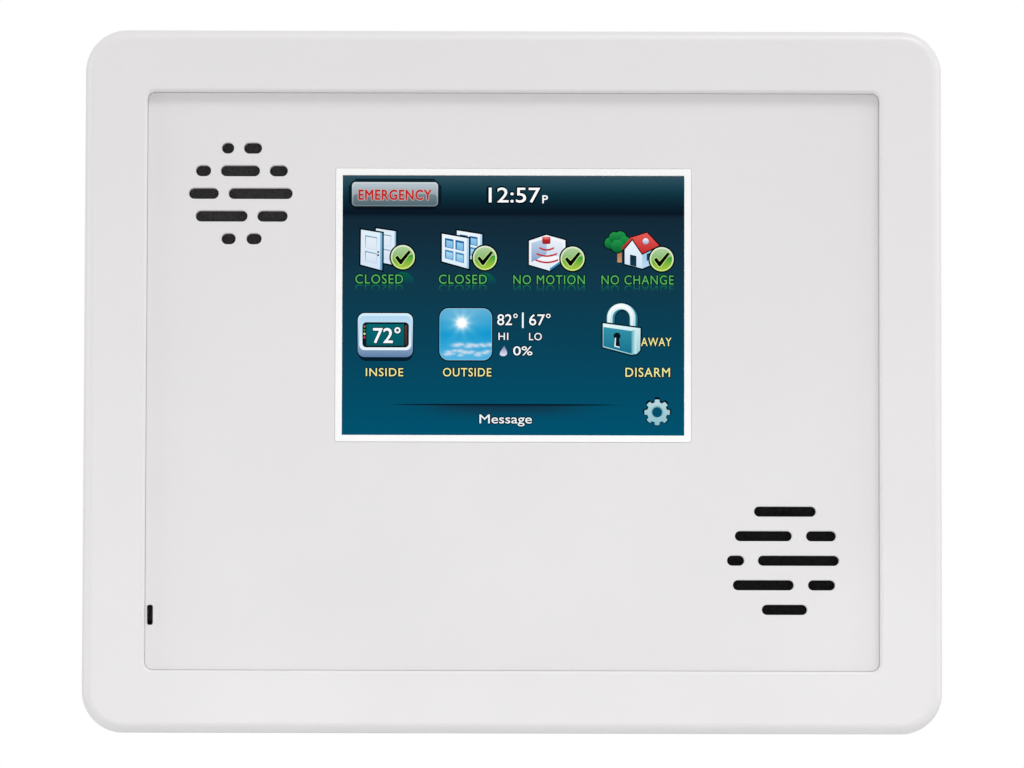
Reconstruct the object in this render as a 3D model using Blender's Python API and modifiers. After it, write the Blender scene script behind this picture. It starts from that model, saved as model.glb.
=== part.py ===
"""Wall-mounted touch screen alarm panel, built piece by piece.

World axes: +X right, +Y into the wall, +Z up; the wall's surface is y = 0 and the front faces -Y.
Depths are given as "out", the distance in front of the wall, so out = -y.
"""

import math

import bmesh
import bpy
from mathutils import Matrix, Vector

MM = 0.001

# Overall sizes
PANEL_WIDTH = 175.0 * MM
PANEL_HEIGHT = 143.5 * MM
PANEL_DEPTH = 32.0 * MM
CASE_WALL = 2.2 * MM
CORNER_RADIUS = 8.5 * MM
FRONT_ROUNDING = 2.0 * MM
WALL_GAP = 0.6 * MM

# Clearances
GAP = 0.3 * MM
CUT = 2.0 * MM

# Face plate and the recess that holds it
FRAME_WIDTH = 13.1 * MM
RECESS_DEPTH = 2.0 * MM
RECESS_RADIUS = 1.65 * MM
PLATE_THICKNESS = 2.0 * MM
LEDGE_WIDTH = 4.0 * MM
LEDGE_THICKNESS = 1.9 * MM
RETURN_WALL = 2.0 * MM
NOTCH_WIDTH = 1.2 * MM
NOTCH_HEIGHT = 4.8 * MM
NOTCH_CHAMFER = 0.5 * MM
NOTCH_ABOVE_EDGE = 11.2 * MM

# Grilles: rows of round-ended slots, top row first, each slot as (left end, right end)
# in millimetres from the grille's centre
SPEAKER_X = -55.7 * MM
SPEAKER_Z = 38.3 * MM
SPEAKER_SLOT = 2.1 * MM
SPEAKER_ROW_PITCH = 4.6 * MM
SPEAKER_ROWS = (
    ((-3.4, -0.9), (1.1, 4.8)),
    ((-8.7, -5.6), (-3.6, 4.4), (6.4, 10.1)),
    ((-10.1, -4.0), (-2.0, 11.1)),
    ((-8.7, 1.9), (3.9, 10.1)),
    ((-3.4, -0.5), (1.7, 4.8)),
)
SIREN_X = 55.3 * MM
SIREN_Z = -36.5 * MM
SIREN_SLOT = 2.0 * MM
SIREN_ROW_PITCH = 5.0 * MM
SIREN_ROWS = (
    ((-5.9, 6.7),),
    ((-9.8, 1.8), (4.7, 10.8)),
    ((-11.4, -7.9), (-5.1, 11.4)),
    ((-10.2, 2.2), (5.1, 10.6)),
    ((-4.3, 4.9),),
)

# Screen
SCREEN_X = 0.2 * MM
SCREEN_Z = 15.7 * MM
LIT_WIDTH = 70.1 * MM
LIT_HEIGHT = 52.6 * MM
SURROUND_WIDTH = 1.4 * MM
SURROUND_PROUD = 0.1 * MM
SURROUND_THICKNESS = 0.95 * MM
PLATE_LIP = 0.9 * MM
TOUCH_THICKNESS = 1.1 * MM
MODULE_WIDTH = 76.9 * MM
MODULE_HEIGHT = 63.9 * MM
MODULE_THICKNESS = 2.9 * MM
DISPLAY_RAIL = 4.0 * MM
DISPLAY_CORNER = 1.0 * MM

# Rear cover, case screws and hinge
COVER_BEHIND_HINGE = 1.1 * MM
COVER_THICKNESS = 2.0 * MM
COVER_CLEARANCE = 0.4 * MM
BOSS_RADIUS = 3.5 * MM
BOSS_INSET = 5.2 * MM
CASE_SCREW_RADIUS = 1.2 * MM
CASE_SCREW_LENGTH = 9.0 * MM
HINGE_CLEARANCE = 0.5 * MM
HINGE_CHAMFER = 3.0 * MM
HINGE_EYE_RADIUS = 2.3 * MM
HINGE_PIN_RADIUS = 1.0 * MM
HINGE_FROM_BOSS = 10.1 * MM
EAR_WIDTH = 4.0 * MM
EAR_HEIGHT = 9.0 * MM
EAR_FOOT = 2.8 * MM

# Wall plate
WALL_PLATE_SIDE_GAP = 5.3 * MM
WALL_PLATE_END_GAP = 9.05 * MM
WALL_PLATE_THICKNESS = 2.0 * MM
WALL_PLATE_RADIUS = 5.0 * MM
RIM_WIDTH = 1.8 * MM
RIM_HEIGHT = 3.0 * MM
WIRE_OPENING = (20.0 * MM, 20.0 * MM, 30.0 * MM, 22.0 * MM)
MOUNT_SLOT_X = 55.0 * MM
MOUNT_SLOT_Z = 44.0 * MM
MOUNT_SLOT_LENGTH = 10.0 * MM
MOUNT_SLOT_WIDTH = 5.0 * MM

# Latch springs and release buttons
LATCH_HEIGHT = 4.0 * MM
LATCH_THICKNESS = 0.8 * MM
LATCH_FOOT_X = 26.0 * MM
LATCH_FOOT_WIDTH = 8.0 * MM
LATCH_FREE_END_X = 58.0 * MM
NOSE_X = 40.0 * MM
NOSE_WIDTH = 7.0 * MM
NOSE_HEIGHT = 2.2 * MM
CATCH_OUT = 4.5 * MM
CATCH_THICKNESS = 1.5 * MM
BUTTON_X = 54.0 * MM
BUTTON_WIDTH = 11.4 * MM
BUTTON_DEPTH = 4.0 * MM
BUTTON_OUT = 4.5 * MM
BUTTON_PROUD = 0.6 * MM
BUTTON_FLANGE = 1.3 * MM
BUTTON_TRAVEL = 2.0 * MM
BUTTON_GUIDE_WALL = 0.9 * MM

# Main board and what stands on it
BOARD_OUT = 20.5 * MM
BOARD_THICKNESS = 1.6 * MM
BOARD_EDGE = 3.6 * MM
BOARD_LOW_Z = -9.5 * MM
POST_RADIUS = 2.6 * MM
BOARD_SCREW_RADIUS = 0.9 * MM
BOARD_SCREW_LENGTH = 5.0 * MM

# Battery
CELL_COUNT = 5
CELL_RADIUS = 7.0 * MM
CELL_LENGTH = 43.0 * MM
CELL_GAP = 0.4 * MM
TRAY_WALL = 1.2 * MM
TRAY_FROM_SIDE = 19.4 * MM
TRAY_FROM_BOTTOM = 5.95 * MM
LID_THICKNESS = 1.6 * MM
LID_OVERLAP = 2.5 * MM
LEAD_RADIUS = 0.7 * MM

# Terminals
POLE_COUNT = 6
POLE_PITCH = 5.08 * MM
TERMINAL_X = 20.0 * MM
TERMINAL_Z = 49.0 * MM
TERMINAL_HEIGHT = 9.0 * MM
TERMINAL_WIRE_SPACE = 7.5 * MM
TERMINAL_SCREW_RADIUS = 1.6 * MM

# Tamper switch
TAMPER_X = -60.0 * MM
TAMPER_Z = 30.0 * MM
TAMPER_HEIGHT = 4.7 * MM
PLUNGER_RADIUS = 1.5 * MM
PLUNGER_COLLAR = 2.4 * MM
PLUNGER_TRAVEL = 1.5 * MM

# Speaker and siren
SPEAKER_RADIUS = 14.4 * MM
SPEAKER_CONE_RADIUS = 9.0 * MM
CONE_TRAVEL = 0.4 * MM
GASKET_THICKNESS = 0.8 * MM
SIREN_RADIUS = 14.8 * MM
SIREN_WALL = 1.5 * MM

# Radio
RADIO_X = 52.0 * MM
RADIO_Z = 34.0 * MM
ANTENNA_RADIUS = 0.6 * MM

# Levels worked out from the sizes above, all as "out"
FACE_OUT = PANEL_DEPTH - RECESS_DEPTH
FACE_BACK = FACE_OUT - PLATE_THICKNESS
LEDGE_OUT = FACE_BACK - GAP
LEDGE_BACK = LEDGE_OUT - LEDGE_THICKNESS
TOUCH_OUT = FACE_OUT - PLATE_LIP - GAP
MODULE_OUT = TOUCH_OUT - TOUCH_THICKNESS - GAP
MODULE_BACK = MODULE_OUT - MODULE_THICKNESS
BOARD_BACK = BOARD_OUT - BOARD_THICKNESS
PART_SEAT = BOARD_BACK - GAP
HINGE_INSET = CASE_WALL + HINGE_EYE_RADIUS + HINGE_CLEARANCE
HINGE_OUT = WALL_GAP + HINGE_INSET
COVER_OUT = HINGE_OUT + HINGE_EYE_RADIUS + COVER_BEHIND_HINGE
COVER_FRONT = COVER_OUT + COVER_THICKNESS
COVER_SEAT = COVER_FRONT + GAP

# Outlines worked out from the sizes above
RECESS_WIDTH = PANEL_WIDTH - 2 * FRAME_WIDTH
RECESS_HEIGHT = PANEL_HEIGHT - 2 * FRAME_WIDTH
INNER_WIDTH = PANEL_WIDTH - 2 * CASE_WALL
INNER_HEIGHT = PANEL_HEIGHT - 2 * CASE_WALL
INNER_TOP = INNER_HEIGHT / 2
HINGE_Z = HINGE_INSET - PANEL_HEIGHT / 2
HINGE_WEB = 2 * (HINGE_EYE_RADIUS - GAP)
LATCH_Z = INNER_TOP - LATCH_HEIGHT
BOSS_X = INNER_WIDTH / 2 - BOSS_INSET
BOSS_Z = INNER_HEIGHT / 2 - BOSS_INSET
HINGE_X = BOSS_X - HINGE_FROM_BOSS
WALL_PLATE_WIDTH = INNER_WIDTH - 2 * WALL_PLATE_SIDE_GAP
WALL_PLATE_HEIGHT = INNER_HEIGHT - 2 * WALL_PLATE_END_GAP
POST_X = RECESS_WIDTH / 2 + (RETURN_WALL - LEDGE_WIDTH) / 2
POST_HIGH_Z = RECESS_HEIGHT / 2 + (RETURN_WALL - LEDGE_WIDTH) / 2
POST_LOW_Z = BOARD_LOW_Z + BOARD_EDGE
BOARD_HALF_WIDTH = POST_X + BOARD_EDGE
BOARD_HIGH_Z = POST_HIGH_Z + BOARD_EDGE
CELL_SPACING = 2 * CELL_RADIUS + CELL_GAP
TRAY_LEFT = -INNER_WIDTH / 2 + TRAY_FROM_SIDE
TRAY_LOW_Z = -INNER_HEIGHT / 2 + TRAY_FROM_BOTTOM
TRAY_RIGHT = TRAY_LEFT + CELL_COUNT * CELL_SPACING + 2 * TRAY_WALL
TRAY_HIGH_Z = TRAY_LOW_Z + 2 * (TRAY_WALL + GAP) + CELL_LENGTH
SCREEN = (SCREEN_X, SCREEN_Z)
TERMINAL_WIDTH = POLE_COUNT * POLE_PITCH


def start_scene():
    for old in list(bpy.data.objects):
        bpy.data.objects.remove(old)
    for name in ("alarm_panel", "cutters"):
        collection = bpy.data.collections.new(name)
        bpy.context.scene.collection.children.link(collection)
    bpy.data.collections["cutters"].hide_render = True


def make_material(name, colour, roughness, metallic=0.0):
    material = bpy.data.materials.new(name)
    material.use_nodes = True
    shader = material.node_tree.nodes["Principled BSDF"]
    shader.inputs["Base Color"].default_value = (*colour, 1.0)
    shader.inputs["Roughness"].default_value = roughness
    shader.inputs["Metallic"].default_value = metallic
    return material


def place(obj, material):
    """Puts a piece in the panel's collection, or a helper without a material among the cutters."""
    if material is None:
        obj.display_type = "WIRE"
        obj.hide_render = True
        bpy.data.collections["cutters"].objects.link(obj)
    else:
        obj.data.materials.append(material)
        bpy.data.collections["alarm_panel"].objects.link(obj)
    return obj


def mesh_object(name, mesh_data, location, material):
    mesh = bpy.data.meshes.new(name)
    mesh_data.to_mesh(mesh)
    mesh_data.free()
    obj = bpy.data.objects.new(name, mesh)
    obj.location = location
    return place(obj, material)


def block(name, x, out, z, material=None, corner=0.0, along="Y", segments=3, front_rounding=0.0):
    """A box between pairs of limits, with the four edges along one axis rounded, and its front edge too."""
    size = Vector((x[1] - x[0], abs(out[1] - out[0]), z[1] - z[0]))
    centre = Vector(((x[0] + x[1]) / 2, -(out[0] + out[1]) / 2, (z[0] + z[1]) / 2))
    body = bmesh.new()
    bmesh.ops.create_cube(body, size=1.0)
    bmesh.ops.scale(body, vec=size, verts=body.verts)
    if corner:
        axis = "XYZ".index(along)
        edges = [e for e in body.edges if abs((e.verts[0].co - e.verts[1].co)[axis]) > size[axis] / 2]
        bmesh.ops.bevel(body, geom=edges, offset=corner, segments=segments, profile=0.5, affect="EDGES")
    if front_rounding:
        front = -size.y / 2 + GAP / 10
        edges = [e for e in body.edges if all(v.co.y < front for v in e.verts)]
        bmesh.ops.bevel(
            body, geom=edges, offset=front_rounding, segments=segments, profile=0.5, affect="EDGES"
        )
    return mesh_object(name, body, centre, material)


def rod(name, centre, radius, length, axis, material=None, segments=16):
    """A round bar centred on a point, along world X, Y or Z."""
    body = bmesh.new()
    bmesh.ops.create_cone(
        body, cap_ends=True, segments=segments, radius1=radius, radius2=radius, depth=length
    )
    turns = {"X": Matrix.Rotation(math.pi / 2, 3, "Y"), "Y": Matrix.Rotation(math.pi / 2, 3, "X")}
    bmesh.ops.rotate(body, cent=(0, 0, 0), matrix=turns.get(axis, Matrix.Identity(3)), verts=body.verts)
    obj = mesh_object(name, body, centre, material)
    smooth(obj)
    return obj


def out_rod(name, x, z, radius, out, material=None, segments=16):
    centre = (x, -(out[0] + out[1]) / 2, z)
    return rod(name, centre, radius, abs(out[1] - out[0]), "Y", material, segments)


def smooth(obj):
    obj.data.shade_smooth()
    obj.data.set_sharp_from_angle(angle=math.radians(35))


def turned(name, profile, x, z, material, closed_loop=False, steps=24):
    """Turns a profile of (radius, out) points round an axis that points out of the wall."""
    profile_mesh = bmesh.new()
    points = [profile_mesh.verts.new((radius, 0, out)) for radius, out in profile]
    pairs = list(zip(points, points[1:]))
    if closed_loop:
        pairs.append((points[-1], points[0]))
    for pair in pairs:
        profile_mesh.edges.new(pair)
    obj = mesh_object(name, profile_mesh, (x, 0, z), material)
    obj.rotation_euler = (math.pi / 2, 0, 0)
    screw = obj.modifiers.new("turn", "SCREW")
    screw.steps = steps
    screw.render_steps = steps
    screw.use_merge_vertices = True
    screw.merge_threshold = 0.00001
    screw.use_smooth_shade = True
    return obj


def ring(name, x, z, outer, inner, out, material, steps=24):
    low, high = min(out), max(out)
    profile = [(inner, high), (outer, high), (outer, low), (inner, low)]
    return turned(name, profile, x, z, material, True, steps)


def rounded_outline(width, height, radius, centre=(0.0, 0.0), segments=4):
    """Points round a rectangle with arcs for corners; a radius of half the height makes a slot."""
    points = []
    for corner in range(4):
        start = corner * math.pi / 2
        right = 1 if corner in (0, 3) else -1
        top = 1 if corner in (0, 1) else -1
        middle_x = centre[0] + right * (width / 2 - radius)
        middle_z = centre[1] + top * (height / 2 - radius)
        for step in range(segments + 1):
            angle = start + step * math.pi / 2 / segments
            points.append((middle_x + radius * math.cos(angle), middle_z + radius * math.sin(angle)))
    return points


def flat_piece(name, outlines, out, material=None):
    """A flat sheet facing the front: the first outline is its edge and the others are its holes."""
    curve = bpy.data.curves.new(name, "CURVE")
    curve.dimensions = "2D"
    curve.fill_mode = "BOTH"
    curve.extrude = abs(out[1] - out[0]) / 2
    for outline in outlines:
        spline = curve.splines.new("POLY")
        spline.points.add(len(outline) - 1)
        for point, (across, up) in zip(spline.points, outline):
            point.co = (across, up, 0, 1)
        spline.use_cyclic_u = True
    drawn = bpy.data.objects.new(name, curve)
    position = Matrix.Translation((0, -(out[0] + out[1]) / 2, 0))
    return solid_from_curve(drawn, position, material, turn=True)


def solid_from_curve(drawn, position, material, turn=False):
    """Makes a closed mesh of a curve object, with its caps welded on."""
    name = drawn.name
    bpy.context.scene.collection.objects.link(drawn)
    if turn:
        position = position @ Matrix.Rotation(math.pi / 2, 4, "X")
    drawn.matrix_world = position
    bpy.context.view_layer.update()
    evaluated = drawn.evaluated_get(bpy.context.evaluated_depsgraph_get())
    mesh = bpy.data.meshes.new_from_object(evaluated)
    shape = bmesh.new()
    shape.from_mesh(mesh)
    bmesh.ops.remove_doubles(shape, verts=shape.verts, dist=0.000001)
    bmesh.ops.recalc_face_normals(shape, faces=shape.faces)
    shape.to_mesh(mesh)
    shape.free()
    bpy.data.objects.remove(drawn)
    obj = bpy.data.objects.new(name, mesh)
    obj.matrix_world = position
    return place(obj, material)


def wire(name, points, radius, material):
    """A round wire along a smooth curve through the given (x, out, z) points."""
    places = [Vector((x, -out, z)) for x, out, z in points]
    ends = [2 * places[0] - places[1]] + places + [2 * places[-1] - places[-2]]
    route = []
    steps = 4
    for a, b, c, d in zip(ends, ends[1:], ends[2:], ends[3:]):
        for step in range(steps):
            t = step / steps
            cubic = (3 * (b - c) + d - a) * t**3 + (2 * a - 5 * b + 4 * c - d) * t**2 + (c - a) * t
            route.append(b + cubic / 2)
    route.append(places[-1])
    curve = bpy.data.curves.new(name, "CURVE")
    curve.dimensions = "3D"
    curve.bevel_depth = radius
    curve.bevel_resolution = 1
    curve.use_fill_caps = True
    spline = curve.splines.new("POLY")
    spline.points.add(len(route) - 1)
    for point, co in zip(spline.points, route):
        point.co = (*co, 1)
    obj = solid_from_curve(bpy.data.objects.new(name, curve), Matrix.Identity(4), material)
    smooth(obj)
    return obj


def combine(target, helper, operation):
    modifier = target.modifiers.new(helper.name, "BOOLEAN")
    modifier.operation = operation
    modifier.solver = "EXACT"
    modifier.object = helper


def cut(target, *helpers):
    for helper in helpers:
        combine(target, helper, "DIFFERENCE")


def join(target, *helpers):
    for helper in helpers:
        combine(target, helper, "UNION")


def centred(middle, size):
    return (middle - size / 2, middle + size / 2)


def mirrored(side, low, high):
    """The x limits of a feature on the right-hand side, or their mirror image for side = -1."""
    return (low, high) if side > 0 else (-high, -low)


def slots_of(rows, pitch, width, x, z):
    """Outlines of a grille's slots, from the top row down."""
    outlines = []
    for row, spans in enumerate(rows):
        height = z + ((len(rows) - 1) / 2 - row) * pitch
        for left, right in spans:
            middle = x + (left + right) / 2 * MM
            length = (right - left) * MM
            outlines.append(rounded_outline(length, width, width / 2, (middle, height)))
    return outlines


def notch_outline(depth, height):
    """The pry notch, open at the recess wall, with its two inner corners cut off."""
    edge = -RECESS_WIDTH / 2
    middle = -RECESS_HEIGHT / 2 + NOTCH_ABOVE_EDGE
    return [
        (edge - CUT, middle - height / 2),
        (edge + depth - NOTCH_CHAMFER, middle - height / 2),
        (edge + depth, middle - height / 2 + NOTCH_CHAMFER),
        (edge + depth, middle + height / 2 - NOTCH_CHAMFER),
        (edge + depth - NOTCH_CHAMFER, middle + height / 2),
        (edge - CUT, middle + height / 2),
    ]


def front_frame(material):
    """Outer shell with the recess for the face plate, screw bosses, board posts and button guides."""
    half_width, half_height = PANEL_WIDTH / 2, PANEL_HEIGHT / 2
    frame = block(
        "front_frame",
        (-half_width, half_width),
        (PANEL_DEPTH, WALL_GAP),
        (-half_height, half_height),
        material,
        corner=CORNER_RADIUS,
        segments=4,
        front_rounding=FRONT_ROUNDING,
    )
    inner = block(
        "frame_hollow",
        centred(0, INNER_WIDTH),
        (PANEL_DEPTH - CASE_WALL, -CUT),
        centred(0, INNER_HEIGHT),
        corner=CORNER_RADIUS - CASE_WALL,
        segments=4,
    )
    return_wall = flat_piece(
        "recess_return",
        [rounded_outline(RECESS_WIDTH + 2 * RETURN_WALL, RECESS_HEIGHT + 2 * RETURN_WALL, RECESS_RADIUS)],
        (PANEL_DEPTH - CASE_WALL / 2, LEDGE_BACK),
    )
    cut(frame, inner)
    join(frame, return_wall)
    for side in (-1, 1):
        for top in (-1, 1):
            boss = out_rod(
                f"case_boss_{side}_{top}",
                side * BOSS_X,
                top * BOSS_Z,
                BOSS_RADIUS,
                (PANEL_DEPTH - CASE_WALL / 2, COVER_SEAT),
                segments=12,
            )
            join(frame, boss)
        for height in (POST_LOW_Z, POST_HIGH_Z):
            post = out_rod(
                f"board_post_{side}_{height:.3f}",
                side * POST_X,
                height,
                POST_RADIUS,
                (LEDGE_OUT - LEDGE_THICKNESS / 2, BOARD_OUT + GAP),
                segments=12,
            )
            join(frame, post)
    seat = flat_piece(
        "plate_seat",
        [rounded_outline(RECESS_WIDTH, RECESS_HEIGHT, RECESS_RADIUS)],
        (PANEL_DEPTH + CUT, LEDGE_OUT),
    )
    window = block(
        "ledge_window",
        centred(0, RECESS_WIDTH - 2 * LEDGE_WIDTH),
        (PANEL_DEPTH, LEDGE_BACK - CUT / 2),
        centred(0, RECESS_HEIGHT - 2 * LEDGE_WIDTH),
    )
    notch_edge = notch_outline(LEDGE_WIDTH, NOTCH_HEIGHT)
    notch = flat_piece("ledge_notch", [notch_edge], (FACE_OUT, LEDGE_BACK - CUT))
    notch.location.x += CUT
    cut(frame, seat, window, notch)
    for side in (-1, 1):
        for top in (-1, 1):
            hole = out_rod(
                f"case_pilot_{side}_{top}",
                side * BOSS_X,
                top * BOSS_Z,
                CASE_SCREW_RADIUS + GAP,
                (COVER_SEAT + CASE_SCREW_LENGTH, COVER_FRONT),
                segments=12,
            )
            cut(frame, hole)
        for height in (POST_LOW_Z, POST_HIGH_Z):
            hole = out_rod(
                f"board_pilot_{side}_{height:.3f}",
                side * POST_X,
                height,
                BOARD_SCREW_RADIUS + GAP,
                (BOARD_OUT + BOARD_SCREW_LENGTH, BOARD_OUT - CUT),
                segments=12,
            )
            cut(frame, hole)
    chamfer = block(
        "hinge_chamfer",
        (-half_width - CUT, half_width + CUT),
        centred(0, HINGE_CHAMFER * math.sqrt(2)),
        centred(0, HINGE_CHAMFER * math.sqrt(2)),
    )
    chamfer.location = (0, -WALL_GAP, -half_height)
    chamfer.rotation_euler = (math.pi / 4, 0, 0)
    cut(frame, chamfer)
    for side in (-1, 1):
        release_features(frame, side)
    return frame


def release_features(frame, side):
    """Slot for one release button, the guide that keeps the button in, and the catch for the latch spring."""
    top = INNER_TOP + CASE_WALL / 2
    catch = block(
        f"catch_{side}",
        mirrored(side, NOSE_X, NOSE_X + NOSE_WIDTH),
        (CATCH_OUT, CATCH_OUT + CATCH_THICKNESS),
        (LATCH_Z + LATCH_THICKNESS + 2 * GAP, top),
    )
    flange_x, flange_out = button_flange_limits()
    guide_low = LATCH_Z + LATCH_THICKNESS + GAP - BUTTON_TRAVEL - BUTTON_GUIDE_WALL / 2
    guide = block(
        f"button_guide_{side}",
        mirrored(side, *flange_x),
        (flange_out[1] + GAP, flange_out[1] + GAP + BUTTON_GUIDE_WALL),
        (guide_low, top),
    )
    stop_high = button_levels()["flange_low"] - BUTTON_TRAVEL - GAP / 2
    stop = block(
        f"button_stop_{side}",
        mirrored(side, *flange_x),
        (flange_out[1] - GAP, flange_out[1] + GAP + BUTTON_GUIDE_WALL / 2),
        (guide_low, stop_high),
    )
    slot = block(
        f"button_slot_{side}",
        mirrored(side, *centred(BUTTON_X, BUTTON_WIDTH + 2 * GAP)),
        centred(BUTTON_OUT, BUTTON_DEPTH + 2 * GAP),
        (INNER_TOP - GAP, PANEL_HEIGHT / 2 + CUT),
    )
    join(frame, catch, guide, stop)
    cut(frame, slot)


def button_flange_limits():
    flange_x = (BUTTON_X - BUTTON_WIDTH / 2 - 0.8 * MM, BUTTON_X + BUTTON_WIDTH / 2 + 1.3 * MM)
    flange_out = (BUTTON_OUT - BUTTON_DEPTH / 2 - 0.8 * MM, BUTTON_OUT + BUTTON_DEPTH / 2 + 0.8 * MM)
    return flange_x, flange_out


def button_levels():
    flange_high = INNER_TOP - GAP
    return {
        "top": PANEL_HEIGHT / 2 + BUTTON_PROUD,
        "flange_high": flange_high,
        "flange_low": flange_high - BUTTON_FLANGE,
        "leg_low": LATCH_Z + LATCH_THICKNESS + GAP,
    }


def release_button(side, material):
    """Button cap with a flange under the case wall and a leg that presses the latch spring."""
    name = "release_button_right" if side > 0 else "release_button_left"
    levels = button_levels()
    flange_x, flange_out = button_flange_limits()
    cap = block(
        name,
        mirrored(side, *centred(BUTTON_X, BUTTON_WIDTH)),
        centred(BUTTON_OUT, BUTTON_DEPTH),
        (levels["flange_high"] - BUTTON_FLANGE / 2, levels["top"]),
        material,
        corner=1.0 * MM,
        along="Z",
    )
    flange = block(
        f"{name}_flange",
        mirrored(side, *flange_x),
        flange_out,
        (levels["flange_low"], levels["flange_high"]),
    )
    leg = block(
        f"{name}_leg",
        mirrored(side, *centred(BUTTON_X, BUTTON_WIDTH / 3)),
        centred(BUTTON_OUT, BUTTON_DEPTH / 2),
        (levels["leg_low"], levels["flange_low"] + BUTTON_FLANGE / 2),
    )
    join(cap, flange, leg)
    return cap


def face_plate(material):
    """Flat insert with the screen window, both grilles and the pry notch; a pocket behind takes the glass."""
    edge = rounded_outline(RECESS_WIDTH - 2 * GAP, RECESS_HEIGHT - 2 * GAP, RECESS_RADIUS - GAP)
    window = rounded_outline(*surround_size(GAP), 0.6 * MM, SCREEN)
    plate = flat_piece("face_plate", [edge, window], (FACE_OUT, FACE_BACK), material)
    slots = slots_of(SPEAKER_ROWS, SPEAKER_ROW_PITCH, SPEAKER_SLOT, SPEAKER_X, SPEAKER_Z)
    slots += slots_of(SIREN_ROWS, SIREN_ROW_PITCH, SIREN_SLOT, SIREN_X, SIREN_Z)
    cut(plate, flat_piece("grille_slots", slots, (FACE_OUT + CUT, FACE_BACK - CUT)))
    pocket = block(
        "glass_pocket",
        centred(SCREEN_X, MODULE_WIDTH + 2 * GAP),
        (FACE_OUT - PLATE_LIP, FACE_BACK - CUT),
        centred(SCREEN_Z, MODULE_HEIGHT + 2 * GAP),
    )
    notch_shape = notch_outline(NOTCH_WIDTH, NOTCH_HEIGHT)
    notch = flat_piece("plate_notch", [notch_shape], (FACE_OUT + CUT, FACE_BACK - CUT))
    cut(plate, pocket, notch)
    return plate


def surround_size(extra=0.0):
    grow = 2 * (SURROUND_WIDTH + extra)
    return LIT_WIDTH + grow, LIT_HEIGHT + grow


def screen_pieces(paint):
    """Surround strip, touch panel, display module, its frame on the board, and the ribbon."""
    surround_front = FACE_OUT + SURROUND_PROUD
    flat_piece(
        "screen_surround",
        [
            rounded_outline(*surround_size(), 0.5 * MM, SCREEN),
            rounded_outline(LIT_WIDTH, LIT_HEIGHT, 0.2 * MM, SCREEN, segments=1),
        ],
        (surround_front, surround_front - SURROUND_THICKNESS),
        paint["surround_white"],
    )
    module_x = centred(SCREEN_X, MODULE_WIDTH)
    module_z = centred(SCREEN_Z, MODULE_HEIGHT)
    block("touch_panel", module_x, (TOUCH_OUT, TOUCH_OUT - TOUCH_THICKNESS), module_z, paint["glass"])
    block("display_module", module_x, (MODULE_OUT, MODULE_BACK), module_z, paint["display_steel"])
    frame_out = (MODULE_BACK - GAP, BOARD_OUT + GAP)
    inner_width = MODULE_WIDTH - 2 * DISPLAY_RAIL
    inner_height = MODULE_HEIGHT - 2 * DISPLAY_RAIL
    flat_piece(
        "display_frame",
        [
            rounded_outline(MODULE_WIDTH, MODULE_HEIGHT, DISPLAY_CORNER, SCREEN, segments=2),
            rounded_outline(inner_width, inner_height, DISPLAY_CORNER, SCREEN, segments=2),
        ],
        frame_out,
        paint["inner_black"],
    )
    block(
        "display_ribbon",
        centred(SCREEN_X - MODULE_WIDTH / 8, 18 * MM),
        (MODULE_BACK - GAP, BOARD_OUT + GAP),
        (SCREEN_Z - MODULE_HEIGHT / 4, SCREEN_Z - MODULE_HEIGHT / 4 + 0.3 * MM),
        paint["ribbon_amber"],
    )


def rear_cover(material):
    """Back plate of the panel with its openings, screw holes and hinge knuckles."""
    half_width = INNER_WIDTH / 2 - COVER_CLEARANCE
    half_height = INNER_HEIGHT / 2 - COVER_CLEARANCE
    terminal_low, terminal_high = terminal_opening()
    holes = [
        rounded_outline(
            TRAY_RIGHT - TRAY_LEFT - 2 * TRAY_WALL,
            TRAY_HIGH_Z - TRAY_LOW_Z - 2 * TRAY_WALL,
            1.0 * MM,
            ((TRAY_LEFT + TRAY_RIGHT) / 2, (TRAY_LOW_Z + TRAY_HIGH_Z) / 2),
            segments=2,
        ),
        rounded_outline(
            TERMINAL_WIDTH + 4 * GAP,
            terminal_high - terminal_low,
            1.0 * MM,
            (TERMINAL_X, (terminal_low + terminal_high) / 2),
            segments=2,
        ),
        circle((TAMPER_X, TAMPER_Z), PLUNGER_RADIUS + GAP),
    ]
    for side in (-1, 1):
        for top in (-1, 1):
            holes.append(circle((side * BOSS_X, top * BOSS_Z), CASE_SCREW_RADIUS + GAP))
    edge = rounded_outline(2 * half_width, 2 * half_height, CORNER_RADIUS - CASE_WALL - COVER_CLEARANCE)
    cover = flat_piece("rear_cover", [edge] + holes, (COVER_FRONT, COVER_OUT), material)
    for side in (-1, 1):
        for shift in (-1, 1):
            middle = side * HINGE_X + shift * (EAR_WIDTH + GAP)
            web = block(
                f"knuckle_web_{side}_{shift}",
                centred(middle, EAR_WIDTH),
                (COVER_OUT + COVER_THICKNESS / 2, HINGE_OUT),
                centred(HINGE_Z, HINGE_WEB),
            )
            eye = rod(
                f"knuckle_eye_{side}_{shift}",
                (middle, -HINGE_OUT, HINGE_Z),
                HINGE_EYE_RADIUS,
                EAR_WIDTH + GAP / 10,
                "X",
            )
            join(cover, web, eye)
        bore = rod(
            f"knuckle_bore_{side}",
            (side * HINGE_X, -HINGE_OUT, HINGE_Z),
            HINGE_PIN_RADIUS + GAP,
            5 * EAR_WIDTH,
            "X",
            segments=12,
        )
        cut(cover, bore)
    bore_out = (COVER_FRONT + CUT, COVER_OUT - CUT)
    cut(cover, out_rod("lid_pilot", *lid_screw_place(), BOARD_SCREW_RADIUS + GAP, bore_out))
    return cover


def circle(centre, radius, segments=12):
    return [
        (
            centre[0] + radius * math.cos(2 * math.pi * step / segments),
            centre[1] + radius * math.sin(2 * math.pi * step / segments),
        )
        for step in range(segments)
    ]


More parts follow.
